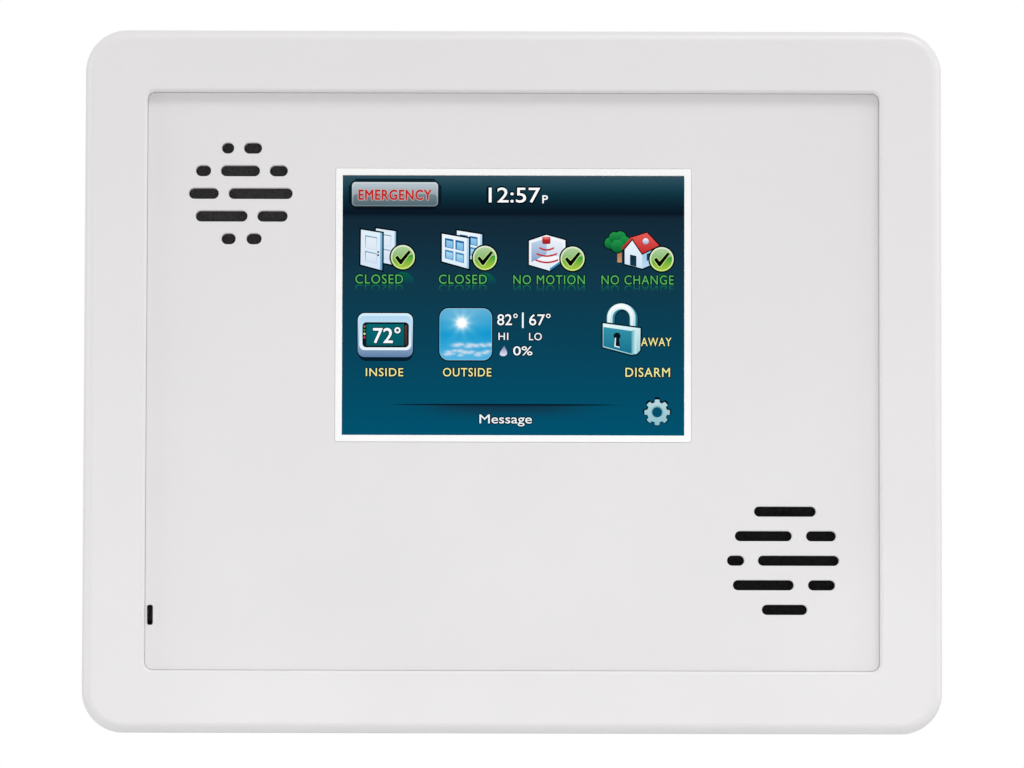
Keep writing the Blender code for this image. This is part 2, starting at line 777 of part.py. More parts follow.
def terminal_opening():
    low = TERMINAL_Z - TERMINAL_HEIGHT / 2 - TERMINAL_WIRE_SPACE
    return low, TERMINAL_Z + TERMINAL_HEIGHT / 2 + 2 * GAP


def lid_screw_place():
    """The battery lid's screw goes into the cover just beyond the tray's top edge."""
    return (TRAY_LEFT + TRAY_RIGHT) / 2, TRAY_HIGH_Z + 2 * LID_OVERLAP


def wall_plate(material):
    """Plate screwed to the wall, with its rim, hinge ears, latch mounts, wire opening and screw slots."""
    wire_x, wire_z, wire_width, wire_height = WIRE_OPENING
    wire_hole = rounded_outline(wire_width, wire_height, 2.0 * MM, (wire_x, wire_z), segments=3)
    holes = []
    for side in (-1, 1):
        centre = (side * MOUNT_SLOT_X, MOUNT_SLOT_Z)
        holes.append(rounded_outline(MOUNT_SLOT_LENGTH, MOUNT_SLOT_WIDTH, MOUNT_SLOT_WIDTH / 2, centre))
        centre = (side * MOUNT_SLOT_X, -MOUNT_SLOT_Z)
        holes.append(rounded_outline(MOUNT_SLOT_WIDTH, MOUNT_SLOT_LENGTH, MOUNT_SLOT_WIDTH / 2, centre))
    edge = rounded_outline(WALL_PLATE_WIDTH, WALL_PLATE_HEIGHT, WALL_PLATE_RADIUS)
    plate = flat_piece("wall_plate", [edge, wire_hole], (WALL_PLATE_THICKNESS, 0.0), material)
    cut(plate, flat_piece("mount_slots", holes, (WALL_PLATE_THICKNESS + CUT, -CUT)))
    inset = 0.2 * MM
    rim = flat_piece(
        "wall_plate_rim",
        [
            rounded_outline(
                WALL_PLATE_WIDTH - 2 * step,
                WALL_PLATE_HEIGHT - 2 * step,
                WALL_PLATE_RADIUS - step,
            )
            for step in (inset, RIM_WIDTH)
        ],
        (WALL_PLATE_THICKNESS + RIM_HEIGHT, WALL_PLATE_THICKNESS / 2),
    )
    join(plate, rim)
    ear_top = HINGE_Z + EAR_HEIGHT
    for side in (-1, 1):
        ear_x = centred(side * HINGE_X, EAR_WIDTH)
        stalk_out = centred(HINGE_OUT, HINGE_WEB)
        stalk = block(f"ear_stalk_{side}", ear_x, stalk_out, (HINGE_Z, ear_top))
        foot = block(
            f"ear_foot_{side}",
            centred(side * HINGE_X, EAR_WIDTH - GAP / 10),
            (HINGE_OUT, WALL_PLATE_THICKNESS / 2),
            (ear_top - EAR_FOOT, ear_top - GAP / 10),
        )
        eye = rod(
            f"ear_eye_{side}",
            (side * HINGE_X, -HINGE_OUT, HINGE_Z),
            HINGE_EYE_RADIUS,
            EAR_WIDTH + GAP / 10,
            "X",
        )
        bore = rod(
            f"ear_bore_{side}",
            (side * HINGE_X, -HINGE_OUT, HINGE_Z),
            HINGE_PIN_RADIUS + GAP,
            2 * EAR_WIDTH,
            "X",
            segments=12,
        )
        join(plate, stalk, foot, eye)
        cut(plate, bore)
        latch_mount(plate, side)
    return plate


def latch_limits():
    """How far out the latch spring's strip lies from the wall: (rear edge, front edge)."""
    return CATCH_OUT - 2.7 * MM, CATCH_OUT + CATCH_THICKNESS + GAP


def latch_mount(plate, side):
    """Block on the wall plate's top edge with the slot that grips one latch spring."""
    rear, front = latch_limits()
    mount = block(
        f"latch_mount_{side}",
        mirrored(side, LATCH_FOOT_X, LATCH_FOOT_X + LATCH_FOOT_WIDTH),
        (0.1 * MM, front + 0.7 * MM),
        (WALL_PLATE_HEIGHT / 2 - CUT, LATCH_Z + LATCH_THICKNESS + 2.0 * MM),
    )
    slot = block(
        f"latch_slot_{side}",
        mirrored(side, LATCH_FOOT_X + 2 * MM, LATCH_FOOT_X + LATCH_FOOT_WIDTH + CUT),
        (rear - GAP, front + CUT),
        (LATCH_Z - GAP, LATCH_Z + LATCH_THICKNESS + GAP),
    )
    join(plate, mount)
    cut(plate, slot)


def latch_spring(side, material):
    """Flat steel strip gripped at its inner end, with an upturned nose in front of the case's catch."""
    name = "latch_spring_right" if side > 0 else "latch_spring_left"
    rear, front = latch_limits()
    strip = block(
        name,
        mirrored(side, LATCH_FOOT_X + 2 * MM + GAP, LATCH_FREE_END_X),
        (rear, front),
        (LATCH_Z, LATCH_Z + LATCH_THICKNESS),
        material,
    )
    nose = block(
        f"{name}_nose",
        mirrored(side, NOSE_X, NOSE_X + NOSE_WIDTH),
        (front - GAP / 10, front + LATCH_THICKNESS),
        (LATCH_Z + GAP / 10, LATCH_Z + LATCH_THICKNESS + NOSE_HEIGHT),
    )
    join(strip, nose)
    return strip


def hinge_pin(side, material):
    name = "hinge_pin_right" if side > 0 else "hinge_pin_left"
    length = 3 * EAR_WIDTH + GAP
    return rod(name, (side * HINGE_X, -HINGE_OUT, HINGE_Z), HINGE_PIN_RADIUS, length, "X", material, 12)


def screw(name, x, z, seat, head_radius, head_height, shank_radius, length, material):
    """A pan-head screw driven from behind: its head rests at seat and its shank points to the front."""
    tip = seat + length
    profile = [
        (0.0, tip),
        (shank_radius * 0.5, tip),
        (shank_radius, tip - shank_radius * 0.7),
        (shank_radius, seat),
        (head_radius, seat),
        (head_radius, seat - head_height * 0.55),
        (head_radius * 0.7, seat - head_height),
        (0.0, seat - head_height),
    ]
    return turned(name, profile, x, z, material, steps=12)


def all_screws(paint):
    corner = 0
    for top in (1, -1):
        for side in (-1, 1):
            corner += 1
            screw(
                f"case_screw_{corner}",
                side * BOSS_X,
                top * BOSS_Z,
                COVER_OUT - GAP,
                2.4 * MM,
                1.6 * MM,
                CASE_SCREW_RADIUS,
                CASE_SCREW_LENGTH,
                paint["screw_steel"],
            )
            screw(
                f"board_screw_{corner}",
                side * POST_X,
                POST_HIGH_Z if top > 0 else POST_LOW_Z,
                PART_SEAT,
                2.0 * MM,
                1.4 * MM,
                BOARD_SCREW_RADIUS,
                BOARD_SCREW_LENGTH,
                paint["screw_steel"],
            )
    screw(
        "battery_cover_screw",
        *lid_screw_place(),
        COVER_OUT - 2 * GAP - LID_THICKNESS,
        2.0 * MM,
        1.4 * MM,
        BOARD_SCREW_RADIUS,
        LID_THICKNESS + COVER_THICKNESS,
        paint["screw_steel"],
    )


def main_board(paint):
    """Circuit board and the parts on its rear face."""
    holes = [
        circle((side * POST_X, height), BOARD_SCREW_RADIUS + GAP)
        for side in (-1, 1)
        for height in (POST_LOW_Z, POST_HIGH_Z)
    ]
    height = BOARD_HIGH_Z - BOARD_LOW_Z
    middle = (0.0, (BOARD_HIGH_Z + BOARD_LOW_Z) / 2)
    edge = rounded_outline(2 * BOARD_HALF_WIDTH, height, 1.5 * MM, middle, segments=2)
    board = flat_piece("main_board", [edge] + holes, (BOARD_OUT, BOARD_BACK), paint["board_green"])
    for side in (-1, 1):
        room = BOSS_RADIUS + 2 * GAP
        room_out = (BOARD_OUT + CUT, BOARD_BACK - CUT)
        cut(board, out_rod(f"boss_room_{side}", side * BOSS_X, BOSS_Z, room, room_out))
    chips = {
        "processor_chip": (-8.0, 20.0, 14.0, 14.0, 1.4),
        "memory_chip": (-30.0, 20.0, 12.0, 18.0, 1.2),
    }
    for name, (x, z, width, tall, thick) in chips.items():
        seat = (PART_SEAT, PART_SEAT - thick * MM)
        block(name, centred(x * MM, width * MM), seat, centred(z * MM, tall * MM), paint["chip_black"])
    radio_out = (PART_SEAT, PART_SEAT - 2.8 * MM)
    block(
        "radio_module",
        centred(RADIO_X, 28 * MM),
        radio_out,
        centred(RADIO_Z, 22 * MM),
        paint["tin"],
        corner=0.8 * MM,
    )
    out_rod(
        "capacitor", 24 * MM, 8 * MM, 3.15 * MM, (PART_SEAT, PART_SEAT - 7 * MM), paint["capacitor_sleeve"]
    )
    block(
        "tamper_switch",
        centred(TAMPER_X, 6 * MM),
        (PART_SEAT, PART_SEAT - TAMPER_HEIGHT),
        centred(TAMPER_Z, 6 * MM),
        paint["inner_black"],
    )
    antenna_out = PART_SEAT - 1.4 * MM
    start_x = RADIO_X + 14 * MM + GAP
    wire(
        "radio_antenna",
        [
            (start_x, antenna_out, RADIO_Z),
            (start_x + 5 * MM, antenna_out - 0.5 * MM, RADIO_Z + 1 * MM),
            (start_x + 12 * MM, antenna_out - 1.5 * MM, RADIO_Z + 8 * MM),
            (start_x + 12.5 * MM, antenna_out - 1.5 * MM, RADIO_Z + 16 * MM),
            (start_x + 5 * MM, antenna_out - 1.5 * MM, RADIO_Z + 26.5 * MM),
            (start_x - 6 * MM, antenna_out - 1.5 * MM, BOARD_HIGH_Z + 3.5 * MM),
            (RADIO_X - 40 * MM, antenna_out - 1.5 * MM, BOARD_HIGH_Z + 3.5 * MM),
        ],
        ANTENNA_RADIUS,
        paint["antenna_grey"],
    )


def tamper_plunger(material):
    """Sprung pin through the rear cover; its tip meets the wall plate while the panel is shut."""
    switch_face = PART_SEAT - TAMPER_HEIGHT
    collar_rear = COVER_FRONT + PLUNGER_TRAVEL + GAP
    tip = WALL_PLATE_THICKNESS + GAP
    profile = [
        (0.0, switch_face - GAP),
        (PLUNGER_COLLAR, switch_face - GAP),
        (PLUNGER_COLLAR, collar_rear),
        (PLUNGER_RADIUS, collar_rear),
        (PLUNGER_RADIUS, tip + PLUNGER_RADIUS / 2),
        (PLUNGER_RADIUS / 2, tip),
        (0.0, tip),
    ]
    return turned("tamper_plunger", profile, TAMPER_X, TAMPER_Z, material, steps=12)


def battery(paint):
    """Five cells side by side in an open tray, with the lid on the rear cover and two leads to the board."""
    tray_face = LEDGE_BACK - GAP
    inner_floor = tray_face - TRAY_WALL
    cell_out = inner_floor - GAP - CELL_RADIUS
    tray = block(
        "battery_tray",
        (TRAY_LEFT, TRAY_RIGHT),
        (tray_face, COVER_SEAT),
        (TRAY_LOW_Z, TRAY_HIGH_Z),
        paint["inner_black"],
    )
    hollow = block(
        "tray_hollow",
        (TRAY_LEFT + TRAY_WALL, TRAY_RIGHT - TRAY_WALL),
        (inner_floor, COVER_OUT),
        (TRAY_LOW_Z + TRAY_WALL, TRAY_HIGH_Z - TRAY_WALL),
    )
    first_cell = TRAY_LEFT + TRAY_WALL + CELL_SPACING / 2
    lead_x = first_cell + 3 * CELL_SPACING
    lead_gap = 2.4 * MM
    lead_notch = block(
        "lead_notch",
        centred(lead_x, 3 * lead_gap),
        (cell_out + 2 * MM, COVER_OUT),
        centred(TRAY_HIGH_Z, 3 * TRAY_WALL),
    )
    cut(tray, hollow, lead_notch)
    cell_low = TRAY_LOW_Z + TRAY_WALL + GAP
    for index in range(CELL_COUNT):
        rod(
            f"battery_cell_{index + 1}",
            (first_cell + index * CELL_SPACING, -cell_out, cell_low + CELL_LENGTH / 2),
            CELL_RADIUS,
            CELL_LENGTH,
            "Z",
            paint["cell_wrap"],
            20,
        )
    lid_x = (TRAY_LEFT + TRAY_WALL - LID_OVERLAP, TRAY_RIGHT - TRAY_WALL + LID_OVERLAP)
    lid_z = (TRAY_LOW_Z + TRAY_WALL - GAP, TRAY_HIGH_Z + 2 * LID_OVERLAP + 3.2 * MM)
    lid_out = (COVER_OUT - GAP, COVER_OUT - GAP - LID_THICKNESS)
    lid = block("battery_cover", lid_x, lid_out, lid_z, paint["rear_white"], corner=1.5 * MM)
    hole_radius = BOARD_SCREW_RADIUS + GAP
    cut(lid, out_rod("lid_hole", *lid_screw_place(), hole_radius, (COVER_OUT + CUT, 0), segments=12))
    connector_low = BOARD_LOW_Z + 1.5 * MM
    block(
        "battery_connector",
        centred(lead_x, 8 * MM),
        (PART_SEAT, PART_SEAT - 5 * MM),
        (connector_low, connector_low + 5 * MM),
        paint["connector_white"],
    )
    plug_out = PART_SEAT - 2.5 * MM
    for name, shift in (("battery_lead_red", -1), ("battery_lead_black", 1)):
        x = lead_x + shift * lead_gap / 2
        route = [
            (x, cell_out - 1.0 * MM, cell_low + CELL_LENGTH + GAP),
            (x, cell_out - 0.9 * MM, TRAY_HIGH_Z - 0.5 * MM),
            (x, cell_out - 0.8 * MM, TRAY_HIGH_Z + 1.2 * MM),
            (x + shift * 0.4 * MM, (cell_out + plug_out) / 2, (TRAY_HIGH_Z + connector_low) / 2),
            (x + shift * 0.8 * MM, plug_out - 0.3 * MM, connector_low - 2.0 * MM),
            (x + shift * 0.4 * MM, plug_out, connector_low - GAP),
        ]
        wire(name, route, LEAD_RADIUS, paint["lead_red" if shift < 0 else "inner_black"])


def speaker(paint):
    """Small round loudspeaker between the face plate and the board."""
    x, z = SPEAKER_X, SPEAKER_Z
    outer = SPEAKER_RADIUS
    gasket_back = LEDGE_OUT - GASKET_THICKNESS
    ring("speaker_gasket", x, z, outer, outer - 2.5 * MM, (LEDGE_OUT, gasket_back), paint["foam"])
    flange = gasket_back - GAP
    basket_back = BOARD_OUT + 1.3 * MM
    inner = outer - 2.0 * MM
    magnet_radius = 6.8 * MM
    hole = magnet_radius + GAP
    profile = [
        (inner, flange),
        (outer, flange),
        (outer, flange - 1.0 * MM),
        (inner + 0.2 * MM, flange - 1.0 * MM),
        (inner + 0.2 * MM, basket_back),
        (hole, basket_back),
        (hole, basket_back + 0.8 * MM),
        (inner - 0.8 * MM, basket_back + 0.8 * MM),
        (inner - 0.8 * MM, flange - 1.2 * MM),
        (inner, flange - 1.2 * MM),
    ]
    turned("speaker_frame", profile, x, z, paint["tin"], True)
    magnet_back = basket_back - GAP
    magnet_front = basket_back + 1.9 * MM
    cone_back = magnet_front + CONE_TRAVEL + GAP
    rim_out = flange - 0.3 * MM
    thickness = 0.35 * MM
    magnet = [
        (0.0, magnet_front),
        (magnet_radius, magnet_front),
        (magnet_radius, magnet_back),
        (hole + 1.6 * MM, magnet_back),
        (hole + 1.6 * MM, magnet_back - 0.6 * MM),
        (0.0, magnet_back - 0.6 * MM),
    ]
    turned("speaker_magnet", magnet, x, z, paint["magnet"])
    cone_radius = SPEAKER_CONE_RADIUS
    dome = cone_radius * 0.4
    cone = [
        (0.0, cone_back + thickness + 0.9 * MM),
        (dome / 2, cone_back + thickness + 0.7 * MM),
        (dome, cone_back + thickness),
        (cone_radius, rim_out),
        (cone_radius, rim_out - thickness),
        (dome, cone_back),
        (dome / 2, cone_back + 0.7 * MM),
        (0.0, cone_back + 0.9 * MM),
    ]
    turned("speaker_cone", cone, x, z, paint["cone_paper"])
    roll_in = cone_radius + GAP
    roll_out = inner - 0.8 * MM - GAP
    middle = (roll_in + roll_out) / 2
    roll = [
        (roll_in, rim_out),
        (middle, rim_out + 0.6 * MM),
        (roll_out, rim_out),
        (roll_out, rim_out - thickness),
        (middle, rim_out + 0.6 * MM - thickness),
        (roll_in, rim_out - thickness),
    ]
    turned("speaker_surround", roll, x, z, paint["inner_black"], True)


def siren(paint):
    """Sounder cup with a brass disc on a step inside, sealed to the face plate by a foam ring."""
    x, z = SIREN_X, SIREN_Z
    outer = SIREN_RADIUS
    inner = outer - SIREN_WALL
    gasket_back = LEDGE_OUT - 1.0 * MM
    ring("siren_gasket", x, z, outer, outer - 3.0 * MM, (LEDGE_OUT, gasket_back), paint["foam"])
    cup_front = gasket_back - GAP
    step = cup_front - 7.0 * MM
    floor = COVER_SEAT + 1.5 * MM
    profile = [
        (0.0, floor),
        (inner - 1.5 * MM, floor),
        (inner - 1.5 * MM, step),
        (inner, step),
        (inner, cup_front),
        (outer, cup_front),
        (outer, COVER_SEAT),
        (0.0, COVER_SEAT),
    ]
    turned("siren_housing", profile, x, z, paint["inner_black"])
    disc_back = step + GAP
    disc_front = disc_back + 0.5 * MM
    disc = [(0.0, disc_front), (inner - GAP, disc_front), (inner - GAP, disc_back), (0.0, disc_back)]
    turned("siren_disc", disc, x, z, paint["brass"])


def sounder_leads(paint):
    """Flexible leads from the speaker to the board's front face and from the siren to its rear face."""
    speaker_side = SPEAKER_Z - SPEAKER_RADIUS + 2 * GAP
    front_seat = BOARD_OUT + GAP + LEAD_RADIUS
    route = [
        (SPEAKER_X, front_seat + 1.6 * MM, speaker_side),
        (SPEAKER_X, front_seat + 1.2 * MM, speaker_side - 4 * MM),
        (SPEAKER_X + 1 * MM, front_seat + 0.4 * MM, speaker_side - 8 * MM),
        (SPEAKER_X + 2 * MM, front_seat, speaker_side - 12 * MM),
    ]
    wire("speaker_lead", route, LEAD_RADIUS, paint["lead_grey"])
    siren_top = SIREN_Z + SIREN_RADIUS + GAP
    rear_seat = PART_SEAT - LEAD_RADIUS
    route = [
        (SIREN_X, rear_seat - 1.6 * MM, siren_top),
        (SIREN_X - 1 * MM, rear_seat - 2.0 * MM, siren_top + 4 * MM),
        (SIREN_X - 4 * MM, rear_seat - 1.0 * MM, (siren_top + POST_LOW_Z) / 2),
        (SIREN_X - 6 * MM, rear_seat, BOARD_LOW_Z + 2 * MM),
        (SIREN_X - 6 * MM, rear_seat, BOARD_LOW_Z + 5 * MM),
    ]
    wire("siren_lead", route, LEAD_RADIUS, paint["lead_grey"])


def terminals(paint):
    """Six-pole screw terminal block whose face is level with the rear cover."""
    body = block(
        "terminal_block",
        centred(TERMINAL_X, TERMINAL_WIDTH),
        (PART_SEAT, COVER_OUT),
        centred(TERMINAL_Z, TERMINAL_HEIGHT),
        paint["terminal_green"],
    )
    well_floor = COVER_OUT + 5.0 * MM
    for pole in range(POLE_COUNT):
        x = TERMINAL_X + (pole - (POLE_COUNT - 1) / 2) * POLE_PITCH
        well = out_rod(
            f"terminal_well_{pole + 1}",
            x,
            TERMINAL_Z + 1.0 * MM,
            TERMINAL_SCREW_RADIUS + GAP,
            (well_floor, COVER_OUT - CUT),
            segments=12,
        )
        entry = block(
            f"wire_entry_{pole + 1}",
            centred(x, 3.0 * MM),
            (COVER_OUT + 1.2 * MM, COVER_OUT + 4.2 * MM),
            (TERMINAL_Z - TERMINAL_HEIGHT / 2 - CUT, TERMINAL_Z - TERMINAL_HEIGHT / 2 + 2.0 * MM),
        )
        cut(body, well, entry)
        head = [
            (0.0, well_floor - GAP),
            (TERMINAL_SCREW_RADIUS, well_floor - GAP),
            (TERMINAL_SCREW_RADIUS, COVER_OUT + 1.0 * MM),
            (0.0, COVER_OUT + 1.0 * MM),
        ]
        turned(f"terminal_screw_{pole + 1}", head, x, TERMINAL_Z + 1.0 * MM, paint["screw_steel"], steps=12)


def make_paint():
    """Every finish used below: colour, roughness and metallic value."""
    finishes = {
        "case_white": ((0.79, 0.78, 0.78), 0.42, 0.0),
        "face_white": ((0.76, 0.75, 0.75), 0.45, 0.0),
        "surround_white": ((0.95, 0.95, 0.95), 0.35, 0.0),
        "rear_white": ((0.72, 0.72, 0.70), 0.55, 0.0),
        "glass": ((0.01, 0.06, 0.09), 0.08, 0.0),
        "display_steel": ((0.55, 0.56, 0.57), 0.35, 1.0),
        "inner_black": ((0.02, 0.02, 0.022), 0.5, 0.0),
        "ribbon_amber": ((0.55, 0.25, 0.03), 0.4, 0.0),
        "board_green": ((0.02, 0.16, 0.06), 0.4, 0.0),
        "chip_black": ((0.03, 0.03, 0.03), 0.45, 0.0),
        "tin": ((0.7, 0.7, 0.68), 0.3, 1.0),
        "capacitor_sleeve": ((0.03, 0.05, 0.12), 0.4, 0.0),
        "antenna_grey": ((0.25, 0.25, 0.26), 0.5, 0.0),
        "cell_wrap": ((0.05, 0.22, 0.12), 0.35, 0.0),
        "connector_white": ((0.8, 0.78, 0.7), 0.5, 0.0),
        "lead_red": ((0.55, 0.02, 0.02), 0.45, 0.0),
        "lead_grey": ((0.3, 0.3, 0.31), 0.45, 0.0),
        "foam": ((0.04, 0.04, 0.04), 0.95, 0.0),
        "magnet": ((0.2, 0.2, 0.21), 0.35, 1.0),
        "cone_paper": ((0.05, 0.05, 0.05), 0.85, 0.0),
        "brass": ((0.75, 0.55, 0.25), 0.3, 1.0),
        "terminal_green": ((0.03, 0.3, 0.12), 0.5, 0.0),
        "screw_steel": ((0.6, 0.6, 0.6), 0.3, 1.0),
        "spring_steel": ((0.5, 0.5, 0.52), 0.3, 1.0),
    }
    return {name: make_material(name, *finish) for name, finish in finishes.items()}


def parent_to(names, empty_name, location, parent=None):
    """Hangs pieces on an empty that stands on their joint's axis."""
    pivot = bpy.data.objects.new(empty_name, None)
    pivot.location = location
    bpy.data.collections["alarm_panel"].objects.link(pivot)
    if parent:
        hang(pivot, parent)
    for name in names:
        hang(bpy.data.objects[name], pivot)
    return pivot


def hang(child, parent):
    bpy.context.view_layer.update()
    child.parent = parent
    child.matrix_parent_inverse = parent.matrix_world.inverted()


def build():
    start_scene()
    paint = make_paint()
    wall_plate(paint["rear_white"])
    front_frame(paint["case_white"])
    face_plate(paint["face_white"])
    rear_cover(paint["rear_white"])
    screen_pieces(paint)
    main_board(paint)
    battery(paint)
    speaker(paint)
    siren(paint)
    sounder_leads(paint)
    terminals(paint)
    tamper_plunger(paint["connector_white"])
    all_screws(paint)
    for side in (-1, 1):
        latch_spring(side, paint["spring_steel"])
        hinge_pin(side, paint["screw_steel"])
        release_button(side, paint["case_white"])
    assemble()


def assemble():
    on_wall = {"wall_plate", "latch_spring_left", "latch_spring_right"}
    moving = {"release_button_left", "release_button_right", "tamper_plunger", "speaker_cone"}
    pieces = [o.name for o in bpy.data.collections["alarm_panel"].objects]
    on_panel = [name for name in pieces if name not in on_wall | moving]
    swing = parent_to(on_panel, "panel_swing_axis", (0, -HINGE_OUT, HINGE_Z))
    for side, name in ((-1, "release_button_left"), (1, "release_button_right")):
        centre = (side * BUTTON_X, -BUTTON_OUT, PANEL_HEIGHT / 2)
        parent_to([name], f"{name}_axis", centre, swing)
    parent_to(["tamper_plunger"], "tamper_plunger_axis", (TAMPER_X, -COVER_OUT, TAMPER_Z), swing)
    parent_to(["speaker_cone"], "speaker_cone_axis", (SPEAKER_X, -FACE_BACK, SPEAKER_Z), swing)


build()
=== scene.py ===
"""Looks of the wall-mounted touch screen alarm panel, around its packed construction model.

X is right, Y into the wall and Z up. The wall's surface is y = 0 and the front faces -Y.
Depths are given as "out", the distance in front of the wall, so out = -y. Lengths are in metres,
and what is drawn on the screen is given in millimetres right of and below the lit area's top left corner.
"""

import math

import bmesh
import bpy
import numpy as np
from mathutils import Euler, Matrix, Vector


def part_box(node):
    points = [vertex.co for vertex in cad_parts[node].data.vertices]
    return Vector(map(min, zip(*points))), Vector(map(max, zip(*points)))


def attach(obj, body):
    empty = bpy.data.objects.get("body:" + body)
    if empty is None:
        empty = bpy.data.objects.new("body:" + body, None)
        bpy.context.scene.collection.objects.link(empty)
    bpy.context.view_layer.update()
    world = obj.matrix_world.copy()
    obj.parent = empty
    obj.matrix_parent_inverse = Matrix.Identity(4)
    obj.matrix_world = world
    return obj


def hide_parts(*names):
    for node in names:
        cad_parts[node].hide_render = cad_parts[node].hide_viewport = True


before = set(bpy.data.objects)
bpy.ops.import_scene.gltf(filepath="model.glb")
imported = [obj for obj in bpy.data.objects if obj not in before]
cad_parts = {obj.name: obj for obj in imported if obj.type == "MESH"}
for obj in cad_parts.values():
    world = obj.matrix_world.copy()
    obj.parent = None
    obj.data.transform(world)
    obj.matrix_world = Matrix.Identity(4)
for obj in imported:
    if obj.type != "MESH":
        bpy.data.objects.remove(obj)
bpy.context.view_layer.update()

MM = 0.001

# Camera and studio
CAMERA_DISTANCE = 1.0
CAMERA_BELOW = math.radians(3.0)
CAMERA_ROLL = math.radians(0.14)
VIEW_WIDTH = 0.2085
VIEW_CENTRE = (-0.00014, -0.0007)
WORLD_LEVEL = 0.5
LOW_SPREAD = math.radians(30.0)
FLOOR_Z = -0.125
FLOOR_RADIUS = 1.5
FLOOR_COLOUR = (0.94, 0.94, 0.94, 1.0)

# Case and face plate
CORNER_RADIUS = 8.5 * MM
FRONT_ROUNDING = 2.2 * MM
CASE_WALL = 2.2 * MM
FIT_GAP = 0.3 * MM
SEAM_GAP = 0.03 * MM
RECESS_EASE = 0.35 * MM
RECESS_RADIUS = 1.65 * MM
RECESS_LIP = 0.75 * MM
RETURN_WALL = 2.0 * MM
LEDGE_WIDTH = 4.0 * MM
LEDGE_THICKNESS = 1.9 * MM
HINGE_CHAMFER = 3.0 * MM
PLATE_EDGE = 0.1 * MM
NOTCH_DEPTH = 1.6 * MM
NOTCH_HEIGHT = 4.1 * MM
NOTCH_MIDDLE = -47.8 * MM
NOTCH_WALL = 0.35 * MM
SLOT_LIP = 0.22 * MM

# White strip round the lit area, and how far its sides lie from the construction model's
SURROUND_WIDTH = 1.4 * MM
STRIP_TRIM = 0.25 * MM
STRIP_DROP = 0.45 * MM
STRIP_RISE = 0.1 * MM

# Inside the case: posts, release buttons, screws and the cloth behind the grilles
BOSS_RADIUS = 3.5 * MM
POST_RADIUS = 2.6 * MM
BUTTON_MIDDLE = 54.0 * MM
BUTTON_WIDTH = 11.4 * MM
BUTTON_DEPTH = 4.0 * MM
BUTTON_OUT = 4.5 * MM
BUTTON_FLANGE = 1.3 * MM
BUTTON_OVERLAP = 0.4 * MM
BUTTON_GROOVES = 4
GROOVE_PITCH = 1.8 * MM
GROOVE_WIDTH = 0.8 * MM
GROOVE_DEPTH = 0.25 * MM
SCREW_PITCH = 0.8 * MM
SCREW_HEAD_HEIGHT = 0.68  # share of the head's radius
SCREW_SHANK = 0.5  # share of the head's radius
CLOTH_GAP = 0.03 * MM
CLOTH_THICKNESS = 0.15 * MM
CLOTH_INSET = 0.4 * MM

# Grilles: one tuple of (left end, right end) slots in millimetres for each row, top row first
SPEAKER_SHIFT = -0.5 * MM
SPEAKER_SLOT = 2.25
SPEAKER_ROW_PITCH = 4.65
SPEAKER_ROWS = (
    ((-3.4, -0.9), (1.1, 4.8)),
    ((-8.7, -5.6), (-3.6, 4.4), (6.4, 10.1)),
    ((-10.1, -4.0), (-2.0, 11.1)),
    ((-8.7, 1.9), (3.9, 10.1)),
    ((-3.4, -0.5), (1.7, 4.8)),
)
SIREN_SHIFT = -0.15 * MM
SIREN_SLOT = 2.05
SIREN_ROW_PITCH = 5.0
SIREN_ROWS = (
    ((-5.9, 6.7),),
    ((-9.8, 1.8), (4.7, 10.8)),
    ((-11.4, -7.9), (-5.1, 11.4)),
    ((-10.2, 2.2), (5.1, 10.6)),
    ((-4.3, 4.9),),
)


# ---------------------------------------------------------------- places read from the frame


def limits(node):
    """The (low, high) pairs of a node's box across, out from the wall, and up."""
    low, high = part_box(node)
    return (low.x, high.x), (-high.y, -low.y), (low.z, high.z)


def middle(pair):
    return (pair[0] + pair[1]) / 2


def span(pair):
    return pair[1] - pair[0]


CASE_X, CASE_OUT, CASE_Z = limits("front_frame")
PLATE_X, PLATE_OUT, PLATE_Z = limits("face_plate")
STRIP_X, SURROUND_OUT, STRIP_Z = limits("screen_surround")
SURROUND_X = (STRIP_X[0], STRIP_X[1] - STRIP_TRIM)
SURROUND_Z = (STRIP_Z[0] - STRIP_DROP, STRIP_Z[1] + STRIP_RISE)
GLASS_X, GLASS_OUT, GLASS_Z = limits("touch_panel")
_, COVER_OUT, _ = limits("rear_cover")
_, BOARD_OUT, _ = limits("main_board")
PANEL_WIDTH = span(CASE_X)
PANEL_HEIGHT = span(CASE_Z)
RECESS_WIDTH = span(PLATE_X) + 2 * (FIT_GAP + RECESS_EASE)
FRAME_WIDTH = (PANEL_WIDTH - RECESS_WIDTH) / 2
LIT_WIDTH = span(SURROUND_X) - 2 * SURROUND_WIDTH
LIT_HEIGHT = span(SURROUND_Z) - 2 * SURROUND_WIDTH
LIT_LEFT = SURROUND_X[0] + SURROUND_WIDTH
LIT_TOP = SURROUND_Z[1] - SURROUND_WIDTH


# ---------------------------------------------------------------- colours and shared finish groups


def linear(levels):
    """Display levels from 0 to 255 as linear light: a short straight foot, then the power 2.4."""
    share = np.asarray(levels, float) / 255.0
    return np.where(share <= 0.04045, share / 12.92, ((share + 0.055) / 1.055) ** 2.4)


def group_socket(group, name, direction, kind="NodeSocketFloat", value=None):
    socket = group.interface.new_socket(name=name, in_out=direction, socket_type=kind)
    if value is not None:
        socket.default_value = value
    return socket


def math_node(tree, operation, first, second):
    """A Math node whose two inputs are sockets or plain numbers."""
    node = tree.nodes.new("ShaderNodeMath")
    node.operation = operation
    for index, source in enumerate((first, second)):
        if isinstance(source, (int, float)):
            node.inputs[index].default_value = source
        else:
            tree.links.new(source, node.inputs[index])
    return node.outputs[0]


